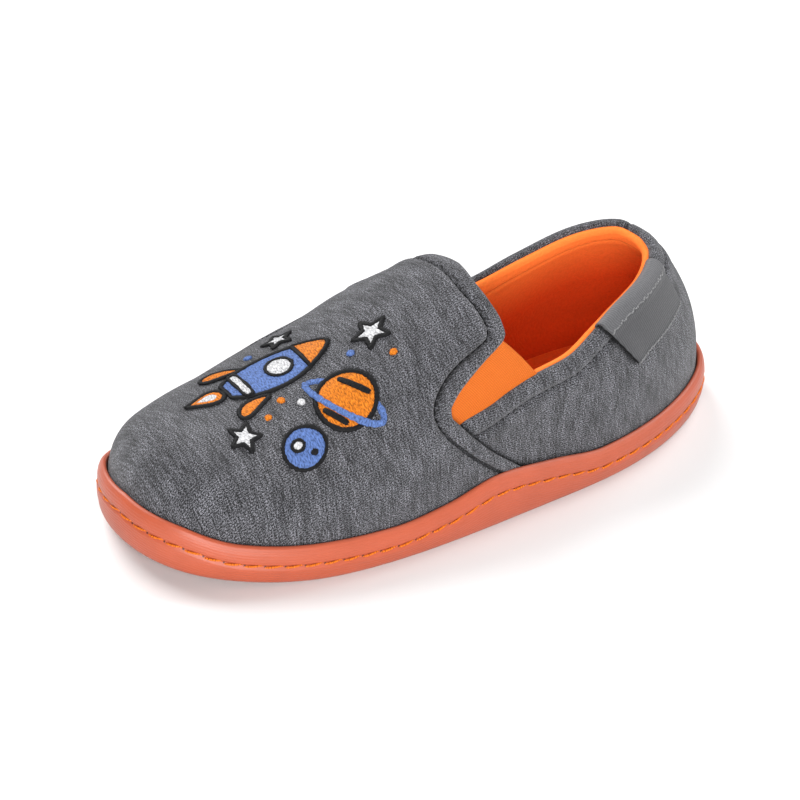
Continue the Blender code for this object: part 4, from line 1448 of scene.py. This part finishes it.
class SLIPPER_OT_embroidery(bpy.types.Operator):
    """Embroiders the rocket, planet and stars on the vamp"""
    bl_idname = "slipper.embroidery"
    bl_label = "Embroidery"

    def execute(self, context):
        sizes = context.scene.slipper_sizes
        colours = context.scene.slipper_colours
        high = sizes.thread_high / MM
        cord = sizes.outline / MM / 2
        black = thread(colours, "black")
        places = {}
        for row in MOTIFS:
            motif = SimpleNamespace(**dict(zip(MOTIF_COLUMNS, row)))
            outline = flat_outline(motif.kind, motif.length, motif.width, 160)
            place = (motif.along, motif.across, motif.turn)
            places[motif.name] = place
            dye = MOTIF_THREADS[motif.kind]
            piece = stitched_patch(motif.name.replace("motif", "thread"), outline, place, PATCH_FOOT, high,
                                   thread(colours, dye))
            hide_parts(motif.name)
            outline_cord(motif.name.replace("motif", "outline"), outline, place, OUTLINE_LEVEL, cord,
                         OUTLINE_HIGH, black)
        for row in DETAILS:
            detail = SimpleNamespace(**dict(zip(DETAIL_COLUMNS, row)))
            along, across, turn = places[detail.by]
            flat = turned_flat(np.array((detail.x, detail.y)), along, across, turn)
            outline = flat_outline(detail.kind, detail.length, detail.width, 72)
            place = (*flat, turn + detail.turn)
            low = high - PATCH_FOOT if detail.on_top else PATCH_FOOT
            piece = stitched_patch(detail.name, outline, place, low, low + DETAIL_HIGH,
                                   thread(colours, detail.thread))
            if detail.outlined:
                outline_cord(detail.name.replace("detail", "border"), outline, place, low + BORDER_LEVEL,
                             cord * BORDER_SHARE, BORDER_HIGH, black)
        ring_length, ring_width, turn, half_width = PLANET_RING
        ring = flat_outline("disc", ring_length, ring_width, 80)
        in_front = np.sin(np.linspace(0, 2 * math.pi, 81)) > 0
        along, across, _ = places["motif_planet"]
        piece = outline_cord("detail_ring", ring, (along, across, turn), np.where(in_front, high + 0.2, 0.1),
                             half_width, BORDER_HIGH, thread(colours, "blue"))
        return {"FINISHED"}


class SLIPPER_OT_stitching(bpy.types.Operator):
    """Stitches the sole wall and the hems"""
    bl_idname = "slipper.stitching"
    bl_label = "Stitching"

    def execute(self, context):
        sizes = context.scene.slipper_sizes
        colours = context.scene.slipper_colours
        turns, outer = round_sole(300)
        crease = wall_ring(turns, outer, -0.2, 1.0, -sizes.sole_crease / MM)
        away = unit(wall_ring(turns, outer, 0.5, 1.0, 0.0) - wall_ring(turns, outer, -0.5, 1.0, 0.0))
        thread_run("sole_stitching", crease, away, sizes.sole_stitch / MM, sizes.sole_thread / MM / 2,
                   dip=0.7, material=thread(colours, "sole"), slant=0.9)
        vamp_line, vamp_normal = [values[2:-2] for values in vamp_grid(sizes)[3:]]
        for name, line, normal, out, dip, dye in (
                ("vamp_stitching", vamp_line, vamp_normal, 0.05, 0.5, "hem"),
                ("collar_stitching", *quarter_grid(sizes)[3:], -0.2, 0.5, "hem"),
                ("lining_stitching", *lining_grid(sizes)[3:], 0.0, 0.4, "lining")):
            thread_run(name, line + out * normal, normal, sizes.hem_stitch / MM,
                       sizes.hem_thread / MM / 2, dip, thread(colours, dye))
        return {"FINISHED"}


class SLIPPER_OT_stage(bpy.types.Operator):
    """Sets the floor, the lights and the camera"""
    bl_idname = "slipper.stage"
    bl_label = "Stage"

    def execute(self, context):
        scene = context.scene
        shape = bmesh.new()
        bmesh.ops.create_grid(shape, x_segments=8, y_segments=8, size=FLOOR_HALF)
        floor = mesh_object("floor", shape, board_material("pale_floor_board", scene.slipper_colours.floor))
        world = bpy.data.worlds.new("studio")
        world.use_nodes = True
        background = world.node_tree.nodes["Background"]
        feed(world.node_tree, background, {"Color": (1.0, 1.0, 1.0, 1.0), "Strength": WORLD_LIGHT})
        scene.world = world
        for name, place, power in LAMPS:
            light = bpy.data.lights.new(name, "AREA")
            light.shape = "DISK"
            light.size = LAMP_WIDTH
            light.energy = power
            lamp = bpy.data.objects.new(name, light)
            lamp.location = place
            lamp.rotation_euler = Vector(place).to_track_quat("Z", "Y").to_euler()
            scene.collection.objects.link(lamp)
        back = Vector((math.sin(VIEW_AZIMUTH) * math.cos(VIEW_ELEVATION),
                       -math.cos(VIEW_AZIMUTH) * math.cos(VIEW_ELEVATION), math.sin(VIEW_ELEVATION)))
        level = Vector((math.cos(VIEW_AZIMUTH), math.sin(VIEW_AZIMUTH), 0.0))
        raised = back.cross(level)
        right = math.cos(VIEW_ROLL) * level + math.sin(VIEW_ROLL) * raised
        up = math.cos(VIEW_ROLL) * raised - math.sin(VIEW_ROLL) * level
        lens = bpy.data.cameras.new("camera")
        lens.lens = VIEW_LENS
        lens.sensor_width = VIEW_SENSOR
        lens.clip_start = 0.01
        camera = bpy.data.objects.new("camera", lens)
        pose = Matrix((right, up, back)).transposed().to_4x4()
        pose.translation = VIEW_TARGET + VIEW_DISTANCE * back
        camera.matrix_world = pose
        scene.collection.objects.link(camera)
        scene.camera = camera
        scene.view_settings.view_transform = "Standard"
        return {"FINISHED"}


OPERATORS = (SLIPPER_OT_sole, SLIPPER_OT_insole, SLIPPER_OT_vamp, SLIPPER_OT_quarters, SLIPPER_OT_lining,
             SLIPPER_OT_gores, SLIPPER_OT_label, SLIPPER_OT_embroidery, SLIPPER_OT_stitching,
             SLIPPER_OT_stage)


class SLIPPER_PT_pieces(bpy.types.Panel):
    """Lists the slipper's pieces, sizes and colours"""
    bl_idname = "SLIPPER_PT_pieces"
    bl_label = "Slipper"
    bl_space_type = "VIEW_3D"
    bl_region_type = "UI"
    bl_category = "Slipper"

    def draw(self, context):
        for operator in OPERATORS:
            self.layout.operator(operator.bl_idname)
        for group in (context.scene.slipper_sizes, context.scene.slipper_colours):
            box = self.layout.box()
            for name in group.__annotations__:
                box.prop(group, name)


CLASSES = (SlipperSizes, SlipperColours, *OPERATORS, SLIPPER_PT_pieces)


def register():
    for item in CLASSES:
        bpy.utils.register_class(item)
    bpy.types.Scene.slipper_sizes = bpy.props.PointerProperty(type=SlipperSizes)
    bpy.types.Scene.slipper_colours = bpy.props.PointerProperty(type=SlipperColours)


def unregister():
    del bpy.types.Scene.slipper_colours
    del bpy.types.Scene.slipper_sizes
    for item in reversed(CLASSES):
        bpy.utils.unregister_class(item)


def main():
    register()
    for operator in OPERATORS:
        getattr(bpy.ops.slipper, operator.bl_idname.split(".")[1])()


if __name__ == "__main__":
    main()
